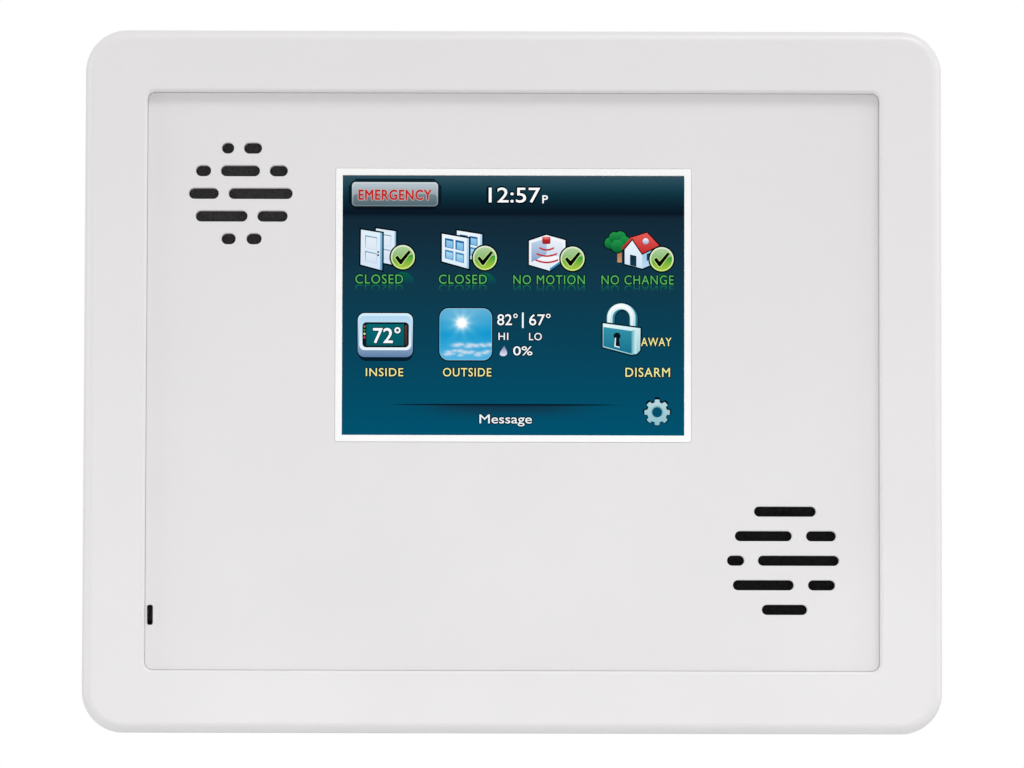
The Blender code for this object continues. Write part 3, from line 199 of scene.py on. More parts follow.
def noise_node(tree, vector, scale, detail=2.0, roughness=0.5):
    node = tree.nodes.new("ShaderNodeTexNoise")
    node.inputs["Detail"].default_value = detail
    node.inputs["Roughness"].default_value = roughness
    tree.links.new(vector, node.inputs["Vector"])
    if isinstance(scale, (int, float)):
        node.inputs["Scale"].default_value = scale
    else:
        tree.links.new(scale, node.inputs["Scale"])
    return node.outputs["Fac"]


def range_node(tree, value, low, high, to_low, to_high):
    """Maps a value from one range to another; the new ends may be sockets."""
    node = tree.nodes.new("ShaderNodeMapRange")
    tree.links.new(value, node.inputs["Value"])
    for name, source in (("From Min", low), ("From Max", high), ("To Min", to_low), ("To Max", to_high)):
        if isinstance(source, (int, float)):
            node.inputs[name].default_value = source
        else:
            tree.links.new(source, node.inputs[name])
    return node.outputs["Result"]


def mixed_colour(tree, share, first, second):
    node = tree.nodes.new("ShaderNodeMix")
    node.data_type = "RGBA"
    tree.links.new(share, node.inputs["Factor"])
    for name, source in (("A", first), ("B", second)):
        socket = [s for s in node.inputs if s.name == name and s.type == "RGBA"][0]
        if isinstance(source, tuple):
            socket.default_value = source
        else:
            tree.links.new(source, socket)
    return [s for s in node.outputs if s.type == "RGBA"][0]


def moulded_group():
    """Moulded plastic: a fine even grain for the height, slow patches for roughness, and a faint tint."""
    group = bpy.data.node_groups.new("moulded_plastic", "ShaderNodeTree")
    group_socket(group, "Vector", "INPUT", "NodeSocketVector")
    group_socket(group, "Colour", "INPUT", "NodeSocketColor", (0.8, 0.8, 0.8, 1.0))
    group_socket(group, "Tint", "INPUT", "NodeSocketColor", (0.7, 0.7, 0.7, 1.0))
    group_socket(group, "Grain Scale", "INPUT", value=3500.0)
    group_socket(group, "Smoothest", "INPUT", value=0.35)
    group_socket(group, "Roughest", "INPUT", value=0.5)
    group_socket(group, "Colour", "OUTPUT", "NodeSocketColor")
    group_socket(group, "Roughness", "OUTPUT")
    group_socket(group, "Height", "OUTPUT")
    given = group.nodes.new("NodeGroupInput").outputs
    result = group.nodes.new("NodeGroupOutput").inputs
    grain = noise_node(group, given["Vector"], given["Grain Scale"], 2.0, 0.6)
    flow = noise_node(group, given["Vector"], 28.0, 3.0, 0.5)
    patches = range_node(group, flow, 0.35, 0.65, 0.0, 1.0)
    group.links.new(mixed_colour(group, patches, given["Colour"], given["Tint"]), result["Colour"])
    rough = range_node(group, flow, 0.3, 0.7, given["Smoothest"], given["Roughest"])
    group.links.new(rough, result["Roughness"])
    group.links.new(grain, result["Height"])
    return group


def brushed_group():
    """Rolled or brushed metal: noise drawn out along X for the height, and light and dark streaks."""
    group = bpy.data.node_groups.new("brushed_metal", "ShaderNodeTree")
    group_socket(group, "Vector", "INPUT", "NodeSocketVector")
    group_socket(group, "Light", "INPUT", "NodeSocketColor", (0.7, 0.7, 0.7, 1.0))
    group_socket(group, "Dark", "INPUT", "NodeSocketColor", (0.5, 0.5, 0.5, 1.0))
    group_socket(group, "Smoothest", "INPUT", value=0.2)
    group_socket(group, "Roughest", "INPUT", value=0.4)
    group_socket(group, "Colour", "OUTPUT", "NodeSocketColor")
    group_socket(group, "Roughness", "OUTPUT")
    group_socket(group, "Height", "OUTPUT")
    given = group.nodes.new("NodeGroupInput").outputs
    result = group.nodes.new("NodeGroupOutput").inputs
    drawn = group.nodes.new("ShaderNodeMapping")
    drawn.inputs["Scale"].default_value = (0.06, 1.0, 1.0)
    group.links.new(given["Vector"], drawn.inputs["Vector"])
    streaks = noise_node(group, drawn.outputs["Vector"], 5200.0, 3.0, 0.6)
    clouds = noise_node(group, given["Vector"], 160.0, 3.0, 0.6)
    share = range_node(group, math_node(group, "MULTIPLY", streaks, clouds), 0.12, 0.4, 0.0, 1.0)
    group.links.new(mixed_colour(group, share, given["Dark"], given["Light"]), result["Colour"])
    rough = range_node(group, clouds, 0.3, 0.7, given["Smoothest"], given["Roughest"])
    group.links.new(rough, result["Roughness"])
    group.links.new(streaks, result["Height"])
    return group


MOULDED = moulded_group()
BRUSHED = brushed_group()


def bare_material(name):
    material = bpy.data.materials.new(name)
    material.use_nodes = True
    return material, material.node_tree, material.node_tree.nodes["Principled BSDF"]


def object_vector(tree):
    return tree.nodes.new("ShaderNodeTexCoord").outputs["Object"]


def bump_into(tree, shader, height, distance, strength=1.0):
    bump = tree.nodes.new("ShaderNodeBump")
    bump.inputs["Distance"].default_value = distance
    bump.inputs["Strength"].default_value = strength
    tree.links.new(height, bump.inputs["Height"])
    tree.links.new(bump.outputs["Normal"], shader.inputs["Normal"])


def finish_from(group, name, settings, bump, metallic=0.0, specular=0.5):
    """A material that takes its colour, roughness and height from one of the shared groups."""
    material, tree, shader = bare_material(name)
    source = tree.nodes.new("ShaderNodeGroup")
    source.node_tree = group
    for socket, value in settings.items():
        source.inputs[socket].default_value = value
    tree.links.new(object_vector(tree), source.inputs["Vector"])
    tree.links.new(source.outputs["Colour"], shader.inputs["Base Color"])
    tree.links.new(source.outputs["Roughness"], shader.inputs["Roughness"])
    shader.inputs["Metallic"].default_value = metallic
    shader.inputs["Specular IOR Level"].default_value = specular
    bump_into(tree, shader, source.outputs["Height"], bump)
    return material


def plastic(name, colour, tint, grain=3500.0, smooth=0.35, rough=0.5, bump=0.00001, specular=0.5):
    settings = {
        "Colour": (*colour, 1.0),
        "Tint": (*tint, 1.0),
        "Grain Scale": grain,
        "Smoothest": smooth,
        "Roughest": rough,
    }
    return finish_from(MOULDED, name, settings, bump, specular=specular)


def metal(name, light, dark, smooth=0.2, rough=0.4, bump=0.000004):
    settings = {"Light": (*light, 1.0), "Dark": (*dark, 1.0), "Smoothest": smooth, "Roughest": rough}
    return finish_from(BRUSHED, name, settings, bump, metallic=1.0)


def board_material():
    """Green solder mask over copper tracks: tracks run where a stepped wave along X or Z is high."""
    material, tree, shader = bare_material("board_green_finish")
    vector = object_vector(tree)
    split = tree.nodes.new("ShaderNodeSeparateXYZ")
    tree.links.new(vector, split.inputs[0])
    patch = noise_node(tree, vector, 140.0, 0.0)
    across = math_node(tree, "PINGPONG", split.outputs["X"], 0.00045)
    along = math_node(tree, "PINGPONG", split.outputs["Z"], 0.00045)
    turned = math_node(tree, "GREATER_THAN", patch, 0.5)
    kept = math_node(tree, "SUBTRACT", 1.0, turned)
    line_across = math_node(tree, "MULTIPLY", across, turned)
    line_along = math_node(tree, "MULTIPLY", along, kept)
    line = math_node(tree, "ADD", line_across, line_along)
    track = range_node(tree, line, 0.00018, 0.00023, 0.0, 1.0)
    colour = mixed_colour(tree, track, (0.012, 0.10, 0.035, 1.0), (0.03, 0.20, 0.075, 1.0))
    tree.links.new(colour, shader.inputs["Base Color"])
    shader.inputs["Roughness"].default_value = 0.3
    shader.inputs["Coat Weight"].default_value = 0.4
    bump_into(tree, shader, track, 0.00003)
    return material


def glow_material(name, attribute):
    """What the display shows: the piece's own colour attribute, given out as light by a black layer."""
    material, tree, shader = bare_material(name)
    colour = tree.nodes.new("ShaderNodeAttribute")
    colour.attribute_name = attribute
    tree.links.new(colour.outputs["Color"], shader.inputs["Emission Color"])
    shader.inputs["Base Color"].default_value = (0.0, 0.0, 0.0, 1.0)
    shader.inputs["Emission Strength"].default_value = 1.0
    shader.inputs["Roughness"].default_value = 0.5
    shader.inputs["Specular IOR Level"].default_value = 0.0
    return material


def weave_material(name, dark, light, scale, bump):
    """Pressed fibre or foam: round cells in the colour and the height, with no shine."""
    material, tree, shader = bare_material(name)
    cells = tree.nodes.new("ShaderNodeTexVoronoi")
    cells.inputs["Scale"].default_value = scale
    tree.links.new(object_vector(tree), cells.inputs["Vector"])
    share = range_node(tree, cells.outputs["Distance"], 0.1, 0.6, 0.0, 1.0)
    tree.links.new(mixed_colour(tree, share, (*dark, 1.0), (*light, 1.0)), shader.inputs["Base Color"])
    shader.inputs["Roughness"].default_value = 0.9
    shader.inputs["Specular IOR Level"].default_value = 0.2
    bump_into(tree, shader, share, bump)
    return material


def make_finishes():
    """Every finish by the name of its slot in the record."""
    return {
        "case_white": plastic(
            "case_white_finish", (0.80, 0.785, 0.79), (0.79, 0.775, 0.78), 4200.0, 0.34, 0.42
        ),
        "face_white": plastic(
            "face_white_finish", (0.785, 0.77, 0.777), (0.775, 0.76, 0.767), 4200.0, 0.36, 0.46
        ),
        "surround_white": plastic(
            "surround_finish", (0.97, 0.97, 0.97), (0.95, 0.95, 0.95), 5000.0, 0.2, 0.3
        ),
        "rear_white": plastic(
            "rear_white_finish", (0.74, 0.73, 0.71), (0.70, 0.69, 0.67), 1600.0, 0.45, 0.62, 2e-5
        ),
        "inner_black": plastic(
            "inner_black_finish", (0.022, 0.022, 0.024), (0.03, 0.03, 0.032), 2200.0, 0.4, 0.6
        ),
        "chip_black": plastic(
            "chip_black_finish", (0.02, 0.02, 0.022), (0.035, 0.035, 0.037), 6000.0, 0.35, 0.55
        ),
        "cell_wrap": plastic(
            "cell_wrap_finish", (0.03, 0.20, 0.10), (0.025, 0.17, 0.085), 900.0, 0.2, 0.35
        ),
        "connector_white": plastic(
            "connector_finish", (0.80, 0.78, 0.70), (0.76, 0.74, 0.66), 2500.0, 0.4, 0.5
        ),
        "capacitor_sleeve": plastic(
            "capacitor_finish", (0.02, 0.035, 0.10), (0.03, 0.05, 0.13), 1500.0, 0.25, 0.4
        ),
        "terminal_green": plastic(
            "terminal_finish", (0.02, 0.27, 0.10), (0.03, 0.31, 0.12), 2500.0, 0.4, 0.55
        ),
        "lead_red": plastic(
            "lead_red_finish", (0.50, 0.012, 0.012), (0.42, 0.01, 0.01), 1800.0, 0.35, 0.5
        ),
        "lead_grey": plastic(
            "lead_grey_finish", (0.30, 0.30, 0.31), (0.26, 0.26, 0.27), 1800.0, 0.35, 0.5
        ),
        "antenna_grey": plastic(
            "antenna_finish", (0.22, 0.22, 0.23), (0.27, 0.27, 0.28), 1800.0, 0.4, 0.55
        ),
        "ribbon_amber": plastic(
            "ribbon_finish", (0.50, 0.21, 0.03), (0.42, 0.16, 0.02), 1200.0, 0.2, 0.35
        ),
        "glass": plastic(
            "glass_finish", (0.012, 0.014, 0.016), (0.015, 0.017, 0.02), 900.0, 0.05, 0.09, 1e-7
        ),
        "board_green": board_material(),
        "foam": weave_material(
            "foam_finish", (0.016, 0.016, 0.016), (0.05, 0.05, 0.052), 2600.0, 0.0001
        ),
        "cone_paper": weave_material(
            "cone_paper_finish", (0.03, 0.03, 0.032), (0.065, 0.065, 0.068), 3600.0, 3e-5
        ),
        "display_steel": metal(
            "display_steel_finish", (0.62, 0.63, 0.64), (0.5, 0.51, 0.52), 0.28, 0.4
        ),
        "tin": metal("tin_finish", (0.72, 0.72, 0.70), (0.6, 0.6, 0.58), 0.25, 0.38),
        "magnet": metal("magnet_finish", (0.26, 0.26, 0.27), (0.18, 0.18, 0.19), 0.3, 0.45),
        "brass": metal("brass_finish", (0.80, 0.58, 0.28), (0.66, 0.46, 0.2), 0.22, 0.38),
        "screw_steel": metal("screw_steel_finish", (0.68, 0.68, 0.67), (0.5, 0.5, 0.5), 0.22, 0.36),
        "spring_steel": metal("spring_steel_finish", (0.58, 0.58, 0.60), (0.42, 0.42, 0.44), 0.2, 0.34),
    }


FINISHES = make_finishes()
CLOTH = weave_material("grille_cloth_finish", (0.022, 0.021, 0.0215), (0.05, 0.048, 0.049), 2400.0, 4e-5)
DARK_CLOTH = weave_material("siren_cloth_finish", (0.001, 0.001, 0.001), (0.007, 0.007, 0.007), 1500.0, 4e-5)


# ---------------------------------------------------------------- surfaces


def smooth(mesh, angle):
    mesh.shade_smooth()
    mesh.set_sharp_from_angle(angle=math.radians(angle))


def solid_object(name, points, faces, sharp=28.0):
    """A closed body: doubles merged, empty faces dropped, and all faces turned outwards."""
    mesh = bpy.data.meshes.new(name)
    mesh.from_pydata(np.asarray(points, float).tolist(), [], faces)
    body = bmesh.new()
    body.from_mesh(mesh)
    bmesh.ops.remove_doubles(body, verts=body.verts, dist=1e-7)
    bmesh.ops.dissolve_degenerate(body, edges=body.edges, dist=1e-7)
    bmesh.ops.recalc_face_normals(body, faces=body.faces)
    body.to_mesh(mesh)
    body.free()
    smooth(mesh, sharp)
    obj = bpy.data.objects.new(name, mesh)
    bpy.context.scene.collection.objects.link(obj)
    return obj


def grid_faces(rows, columns, close_rows):
    """Quads that join each point of a grid to the next row and the next column; columns always close."""
    last_row = rows if close_rows else rows - 1
    row, column = np.meshgrid(np.arange(last_row), np.arange(columns), indexing="ij")
    next_row = (row + 1) % rows
    next_column = (column + 1) % columns
    corners = (
        row * columns + column,
        row * columns + next_column,
        next_row * columns + next_column,
        next_row * columns + column,
    )
    return np.stack(corners, axis=-1).reshape(-1, 4).tolist()


def sheet_faces(rows, columns):
    """Quads of an open grid whose rows run down the screen and whose columns run across it."""
    row, column = np.meshgrid(np.arange(rows - 1), np.arange(columns - 1), indexing="ij")
    first = row * columns + column
    corners = (first, first + columns, first + columns + 1, first + 1)
    return np.stack(corners, axis=-1).reshape(-1, 4).tolist()


def rounded_loops(half_width, half_height, radius, steps=14, support=0.0004):
    """Rectangles with round corners, one row for each size given.

    A corner is a quarter circle about a point one radius inside both sides, read at even angles,
    with one more point a little way along each straight side, if it has one, so that the sides stay flat.
    """
    sizes = (half_width, half_height, radius)
    width, height, round_ = (np.atleast_1d(size).astype(float)[:, None, None] for size in sizes)
    corner = np.arange(4)[None, :, None]
    angle = corner * math.pi / 2 + np.linspace(0, math.pi / 2, steps)[None, None, :]
    right = np.where((corner == 0) | (corner == 3), 1.0, -1.0)
    top = np.where(corner < 2, 1.0, -1.0)
    x = right * (width - round_) + round_ * np.cos(angle)
    z = top * (height - round_) + round_ * np.sin(angle)
    ends = angle[..., [0, -1]]
    straight = np.minimum(width - round_, height - round_)
    step = np.array([-1.0, 1.0]) * np.minimum(support, np.maximum(straight, 0.0) / 2)
    x_ends = x[..., [0, -1]] - np.sin(ends) * step
    z_ends = z[..., [0, -1]] + np.cos(ends) * step
    x = np.concatenate([x_ends[..., :1], x, x_ends[..., 1:]], axis=-1)
    z = np.concatenate([z_ends[..., :1], z, z_ends[..., 1:]], axis=-1)
    return x.reshape(len(x), -1), z.reshape(len(z), -1)


def filleted(corners, steps=6, support=0.00006):
    """A closed outline of (inset, out, fillet radius) corners, with each corner rounded.

    A fillet's centre lies on the corner's bisector, at radius over the sine of half the corner's angle.
    The arc turns evenly from one touching point to the other; a point just past each keeps the sides flat.
    """
    corners = np.array(corners, float)
    place, radius = corners[:, :2], corners[:, 2:]
    back = np.roll(place, 1, axis=0) - place
    ahead = np.roll(place, -1, axis=0) - place
    back /= np.linalg.norm(back, axis=1, keepdims=True)
    ahead /= np.linalg.norm(ahead, axis=1, keepdims=True)
    half = np.arccos(np.clip((back * ahead).sum(1, keepdims=True), -1, 1)) / 2
    bisector = (back + ahead) / np.linalg.norm(back + ahead, axis=1, keepdims=True)
    centre = place + bisector * radius / np.sin(half)
    reach = radius / np.tan(half)
    first = place + back * reach - centre
    last = place + ahead * reach - centre
    turn = math.pi - 2 * half[:, :, None]
    share = np.linspace(0, 1, steps)[None, :, None]
    arc = np.sin((1 - share) * turn) * first[:, None] + np.sin(share * turn) * last[:, None]
    arc = centre[:, None] + arc / np.sin(turn)
    before = place + back * (reach + support)
    after = place + ahead * (reach + support)
    return np.concatenate([before[:, None], arc, after[:, None]], axis=1).reshape(-1, 2)


def framed(name, profile, half_width, half_height, radius_at, centre=(0.0, 0.0), steps=14):
    """Carries a closed profile of (inset, out) points round a rectangle with round corners.

    Each profile point runs on its own rounded rectangle, smaller by its inset,
    whose corner radius is radius_at(inset).
    """
    inset, out = profile[:, 0], profile[:, 1]
    x, z = rounded_loops(half_width - inset, half_height - inset, radius_at(inset), steps)
    y = -np.broadcast_to(out[:, None], x.shape)
    points = np.stack([x + centre[0], y, z + centre[1]], axis=-1).reshape(-1, 3)
    return solid_object(name, points, grid_faces(*x.shape, True))


def slab_points(centre, half_width, half_height, radius, levels, steps=14):
    """Rings of a plate, one for each (grow, out) level: each is the plate's outline made larger by grow."""
    grow, out = np.array(levels, float).T
    x, z = rounded_loops(half_width + grow, half_height + grow, np.maximum(radius + grow, 1e-6), steps)
    y = -np.broadcast_to(out[:, None], x.shape)
    points = np.stack([x + centre[0], y, z + centre[1]], axis=-1)
    columns = x.shape[1]
    faces = grid_faces(len(out), columns, False)
    faces.append(list(range(columns)))
    faces.append(list(range((len(out) - 1) * columns, len(out) * columns)))
    return points.reshape(-1, 3), faces


def edge_levels(back, front, edge):
    """(grow, out) levels of a plate whose rims are quarter circles, pulling in towards its two faces."""
    turn = np.linspace(0, math.pi / 2, 4)
    rear = np.stack([edge * (np.sin(turn) - 1), back + edge * (1 - np.cos(turn))], axis=-1)
    fore = np.stack([edge * (np.cos(turn) - 1), front - edge * (1 - np.sin(turn))], axis=-1)
    return np.concatenate([rear, fore])


def slab(name, x, out, z, radius, edge, steps=14, sharp=28.0):
    """A plate or block between pairs of limits, with round corners seen from the front and rounded rims."""
    centre = (middle(x), middle(z))
    levels = edge_levels(out[0], out[1], edge)
    points, faces = slab_points(centre, span(x) / 2, span(z) / 2, radius, levels, steps)
    return solid_object(name, points, faces, sharp)


def lipped_cutter(name, outlines, front, back, lip):
    """One cutter for many holes in a front face, each given as (x, z, half width, half height, radius).

    Going out through the face, a hole's outline grows by lip times (1 - cos a), with a from 0 to 70 degrees.
    """
    turn = np.radians(np.linspace(0, 70, 4))
    start = front - lip * math.sin(turn[-1])
    flare = np.stack([lip * (1 - np.cos(turn)), start + lip * np.sin(turn)], axis=-1)
    beyond = [(flare[-1][0] + lip / 2, front + lip)]
    levels = np.concatenate([[(0.0, back)], flare, beyond])
    points, faces, count = [], [], 0
    for x, z, half_width, half_height, radius in outlines:
        ring, sides = slab_points((x, z), half_width, half_height, radius, levels, 9)
        points.append(ring)
        faces += [(np.array(side) + count).tolist() for side in sides]
        count += len(ring)
    return solid_object(name, np.concatenate(points), faces)


def turned(name, profile, centre, steps):
    """Turns a profile of (radius, out) points round a line through centre that runs out from the wall."""
    radius, out = np.array(profile, float).T
    angle = np.linspace(0, 2 * math.pi, steps, endpoint=False)
    across = radius[:, None] * np.cos(angle)
    up = radius[:, None] * np.sin(angle)
    y = -np.broadcast_to(out[:, None], across.shape)
    points = np.stack([centre[0] + across, y, centre[1] + up], axis=-1)
    return solid_object(name, points.reshape(-1, 3), grid_faces(len(radius), steps, False))


def combine(piece, others, operation, sharp=28.0):
    """Adds helpers to a piece or cuts them from it, keeps the result as its mesh and removes the helpers."""
    for other in others:
        modifier = piece.modifiers.new(other.name, "BOOLEAN")
        modifier.operation = operation
        modifier.solver = "EXACT"
        modifier.object = other
    bpy.context.view_layer.update()
    graph = bpy.context.evaluated_depsgraph_get()
    mesh = bpy.data.meshes.new_from_object(piece.evaluated_get(graph))
    piece.modifiers.clear()
    piece.data = mesh
    for other in others:
        bpy.data.objects.remove(other)
    smooth(mesh, sharp)
    return piece


def dress(piece, slot, body, *replaced):
    """Gives a finished piece its material, slot and body, and hides the nodes it stands for."""
    piece.data.materials.clear()
    piece.data.materials.append(FINISHES[slot])
    if replaced:
        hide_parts(*replaced)
    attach(piece, body)
    return piece


# ---------------------------------------------------------------- camera, light and floor


def add_camera():
    """Straight in front, a little below the panel and looking slightly up at it."""
    camera = bpy.data.objects.new("camera", bpy.data.cameras.new("camera"))
    bpy.context.scene.collection.objects.link(camera)
    front = CASE_OUT[1]
    camera.location = (
        VIEW_CENTRE[0],
        -front - CAMERA_DISTANCE * math.cos(CAMERA_BELOW),
        VIEW_CENTRE[1] - CAMERA_DISTANCE * math.sin(CAMERA_BELOW),
    )
    turn = Euler((math.pi / 2 + CAMERA_BELOW, 0.0, 0.0)).to_matrix()
    roll = Euler((0.0, 0.0, CAMERA_ROLL)).to_matrix()
    camera.rotation_euler = (turn @ roll).to_euler()
    camera.data.sensor_width = 36.0
    camera.data.lens = camera.data.sensor_width * CAMERA_DISTANCE / VIEW_WIDTH
    camera.data.clip_start = 0.01
    bpy.context.scene.camera = camera


def add_lamp(name, size, power, place, target, spread=math.pi):
    light = bpy.data.lights.new(name, "AREA")
    light.spread = spread
    light.shape = "RECTANGLE"
    light.size, light.size_y = size
    light.energy = power
    lamp = bpy.data.objects.new(name, light)
    lamp.location = place
    lamp.rotation_euler = (Vector(target) - Vector(place)).to_track_quat("-Z", "Y").to_euler()
    bpy.context.scene.collection.objects.link(lamp)


def seen_directly(tree):
    """1 for rays from the camera, and for those that glossy or clear surfaces send on."""
    path = tree.nodes.new("ShaderNodeLightPath")
    sharp = math_node(tree, "MAXIMUM", path.outputs["Is Glossy Ray"], path.outputs["Is Transmission Ray"])
    return math_node(tree, "MAXIMUM", path.outputs["Is Camera Ray"], sharp)


def add_world(level):
    world = bpy.data.worlds.new("studio")
    world.use_nodes = True
    tree = world.node_tree
    soft = tree.nodes["Background"]
    soft.inputs["Color"].default_value = (1.0, 1.0, 1.0, 1.0)
    soft.inputs["Strength"].default_value = level
    white = tree.nodes.new("ShaderNodeBackground")
    white.inputs["Color"].default_value = (1.0, 1.0, 1.0, 1.0)
    mix = tree.nodes.new("ShaderNodeMixShader")
    tree.links.new(seen_directly(tree), mix.inputs[0])
    tree.links.new(soft.outputs[0], mix.inputs[1])
    tree.links.new(white.outputs[0], mix.inputs[2])
    tree.links.new(mix.outputs[0], tree.nodes["World Output"].inputs["Surface"])
    bpy.context.scene.world = world


def add_floor():
    """A flat, pale, round floor under the hanging panel: circles of growing radius joined by quads."""
    radius = np.array([0.0, 0.2, 0.5, 1.0, FLOOR_RADIUS])
    angle = np.linspace(0, 2 * math.pi, 72, endpoint=False)
    x = radius[:, None] * np.cos(angle)
    y = radius[:, None] * np.sin(angle)
    points = np.stack([x, y, np.full_like(x, FLOOR_Z)], axis=-1).reshape(-1, 3)
    mesh = bpy.data.meshes.new("floor")
    mesh.from_pydata(points.tolist(), [], grid_faces(*x.shape, False))
    body = bmesh.new()
    body.from_mesh(mesh)
    bmesh.ops.remove_doubles(body, verts=body.verts, dist=1e-7)
    body.to_mesh(mesh)
    body.free()
    floor = bpy.data.objects.new("floor", mesh)
    bpy.context.scene.collection.objects.link(floor)
    material, _, shader = bare_material("floor_finish")
    shader.inputs["Base Color"].default_value = FLOOR_COLOUR
    shader.inputs["Roughness"].default_value = 0.8
    shader.inputs["Specular IOR Level"].default_value = 0.1
    floor.data.materials.append(material)


def set_up_studio():
    scene = bpy.context.scene
    scene.view_settings.view_transform = "Standard"
    add_world(WORLD_LEVEL)
    add_lamp("key", (0.9, 0.5), 10.0, (0.5, -0.9, 1.3), (0.0, 0.0, 0.0))
    add_lamp("left_side", (0.6, 0.8), 3.4, (-1.2, -0.3, 0.15), (0.0, 0.0, 0.0))
    add_lamp("right_side", (0.6, 0.8), 2.3, (1.2, -0.3, 0.15), (0.0, 0.0, 0.0))
    add_lamp("low_bounce", (0.5, 0.03), 0.035, (0.0, -0.8, -0.09), (0.0, 0.0, -0.075), LOW_SPREAD)
    add_floor()


# ---------------------------------------------------------------- case pieces


def frame_radius(inset):
    """Corner radius of the front frame's outlines: parallel to the case outside and to the recess inside."""
    recess = FRAME_WIDTH
    known = [0.0, CASE_WALL, recess - RETURN_WALL, recess, recess + LEDGE_WIDTH]
    radius = [
        CORNER_RADIUS,
        CORNER_RADIUS - CASE_WALL,
        RECESS_RADIUS + RETURN_WALL,
        RECESS_RADIUS,
        0.3 * MM,
    ]
    return np.interp(inset, known, radius)


def upright(name, x, out, z, radius, edge, steps=6):
    """A block with round corners seen from above, and rounded rims at its top and bottom."""
    levels = edge_levels(z[0], z[1], edge)
    centre = (middle(x), middle(out))
    points, faces = slab_points(centre, span(x) / 2, span(out) / 2, radius, levels, steps)
    turned_up = np.stack([points[:, 0], -points[:, 2], -points[:, 1]], axis=-1)
    return solid_object(name, turned_up, faces)


def around(middle_value, width):
    return middle_value - width / 2, middle_value + width / 2


def mirrored(side, low, high):
    return (low, high) if side > 0 else (-high, -low)


def screw_place(node):
    """A screw's centre across and up, its head's radius, and its two ends out from the wall."""
    x, out, z = limits(node)
    return (middle(x), middle(z)), span(x) / 2, out


def case_bosses():
    """Round posts inside the shell, four for the case screws and four for the board's."""
    posts = []
    for number in range(1, 5):
        centre, _, _ = screw_place(f"case_screw_{number}")
        back, front = COVER_OUT[1] + FIT_GAP, CASE_OUT[1] - CASE_WALL / 2
        profile = [(0.0, back), (BOSS_RADIUS, back), (BOSS_RADIUS, front), (0.0, front)]
        posts.append(turned(f"case_boss_{number}", profile, centre, steps=32))
        centre, _, _ = screw_place(f"board_screw_{number}")
        back, front = BOARD_OUT[1] + FIT_GAP, PLATE_OUT[0] - FIT_GAP - LEDGE_THICKNESS / 2
        profile = [(0.0, back), (POST_RADIUS, back), (POST_RADIUS, front), (0.0, front)]
        posts.append(turned(f"board_post_{number}", profile, centre, steps=28))
    return posts


def button_guides():
    """On each side of the top wall: the latch spring's catch, and the button's guide and stop."""
    inner_top = CASE_Z[1] - CASE_WALL
    top = inner_top + CASE_WALL / 2
    guides = []
    for side in (-1, 1):
        blocks = (
            ("catch", (40.0, 47.0), (4.5, 6.0), (inner_top - 2.6 * MM, top)),
            ("guide", (47.5, 61.0), (7.6, 8.5), (inner_top - 5.35 * MM, top)),
            ("stop", (47.5, 61.0), (7.0, 8.1), (inner_top - 5.35 * MM, inner_top - 3.75 * MM)),
        )
        for name, (near, far), (back, front), z in blocks:
            x = mirrored(side, near * MM, far * MM)
            guides.append(upright(f"{name}_{side}", x, (back * MM, front * MM), z, 0.2 * MM, 0.1 * MM))
    return guides


def case_holes():
    """Cutters for the button slots, the screws' pilot holes, the ledge's pry notch and the hinge chamfer."""
    cutters = []
    for number in range(1, 5):
        for kind in ("case", "board"):
            centre, head, out = screw_place(f"{kind}_screw_{number}")
            radius = head * SCREW_SHANK + FIT_GAP
            profile = [(0.0, out[0]), (radius, out[0]), (radius, out[1] + MM), (0.0, out[1] + 1.5 * MM)]
            cutters.append(turned(f"{kind}_pilot_{number}", profile, centre, steps=24))
    for side in (-1, 1):
        x = around(side * BUTTON_MIDDLE, BUTTON_WIDTH + 2 * FIT_GAP)
        out = around(BUTTON_OUT, BUTTON_DEPTH + 2 * FIT_GAP)
        z = (CASE_Z[1] - CASE_WALL - FIT_GAP, CASE_Z[1] + MM)
        cutters.append(upright(f"button_slot_{side}", x, out, z, 1.1 * MM, 0.02 * MM))
    notch_x = (PLATE_X[0] - RECESS_EASE + 0.05 * MM, PLATE_X[0] + LEDGE_WIDTH + MM)
    notch_out = (PLATE_OUT[0] - 4 * MM, PLATE_OUT[0] + MM)
    notch_z = around(NOTCH_MIDDLE, NOTCH_HEIGHT)
    cutters.append(slab("ledge_notch", notch_x, notch_out, notch_z, 0.2 * MM, 0.02 * MM))
    end = PANEL_WIDTH / 2 + MM
    low, rear = CASE_Z[0] - MM, CASE_OUT[0] - MM
    leg = HINGE_CHAMFER + 2 * MM
    wedge = ((rear, low + leg), (rear, low), (rear + leg, low))
    points = [(x, -out, z) for x in (-end, end) for out, z in wedge]
    faces = [(0, 1, 2), (3, 4, 5), (0, 1, 4, 3), (1, 2, 5, 4), (2, 0, 3, 5)]
    cutters.append(solid_object("hinge_chamfer", points, faces))
    return cutters


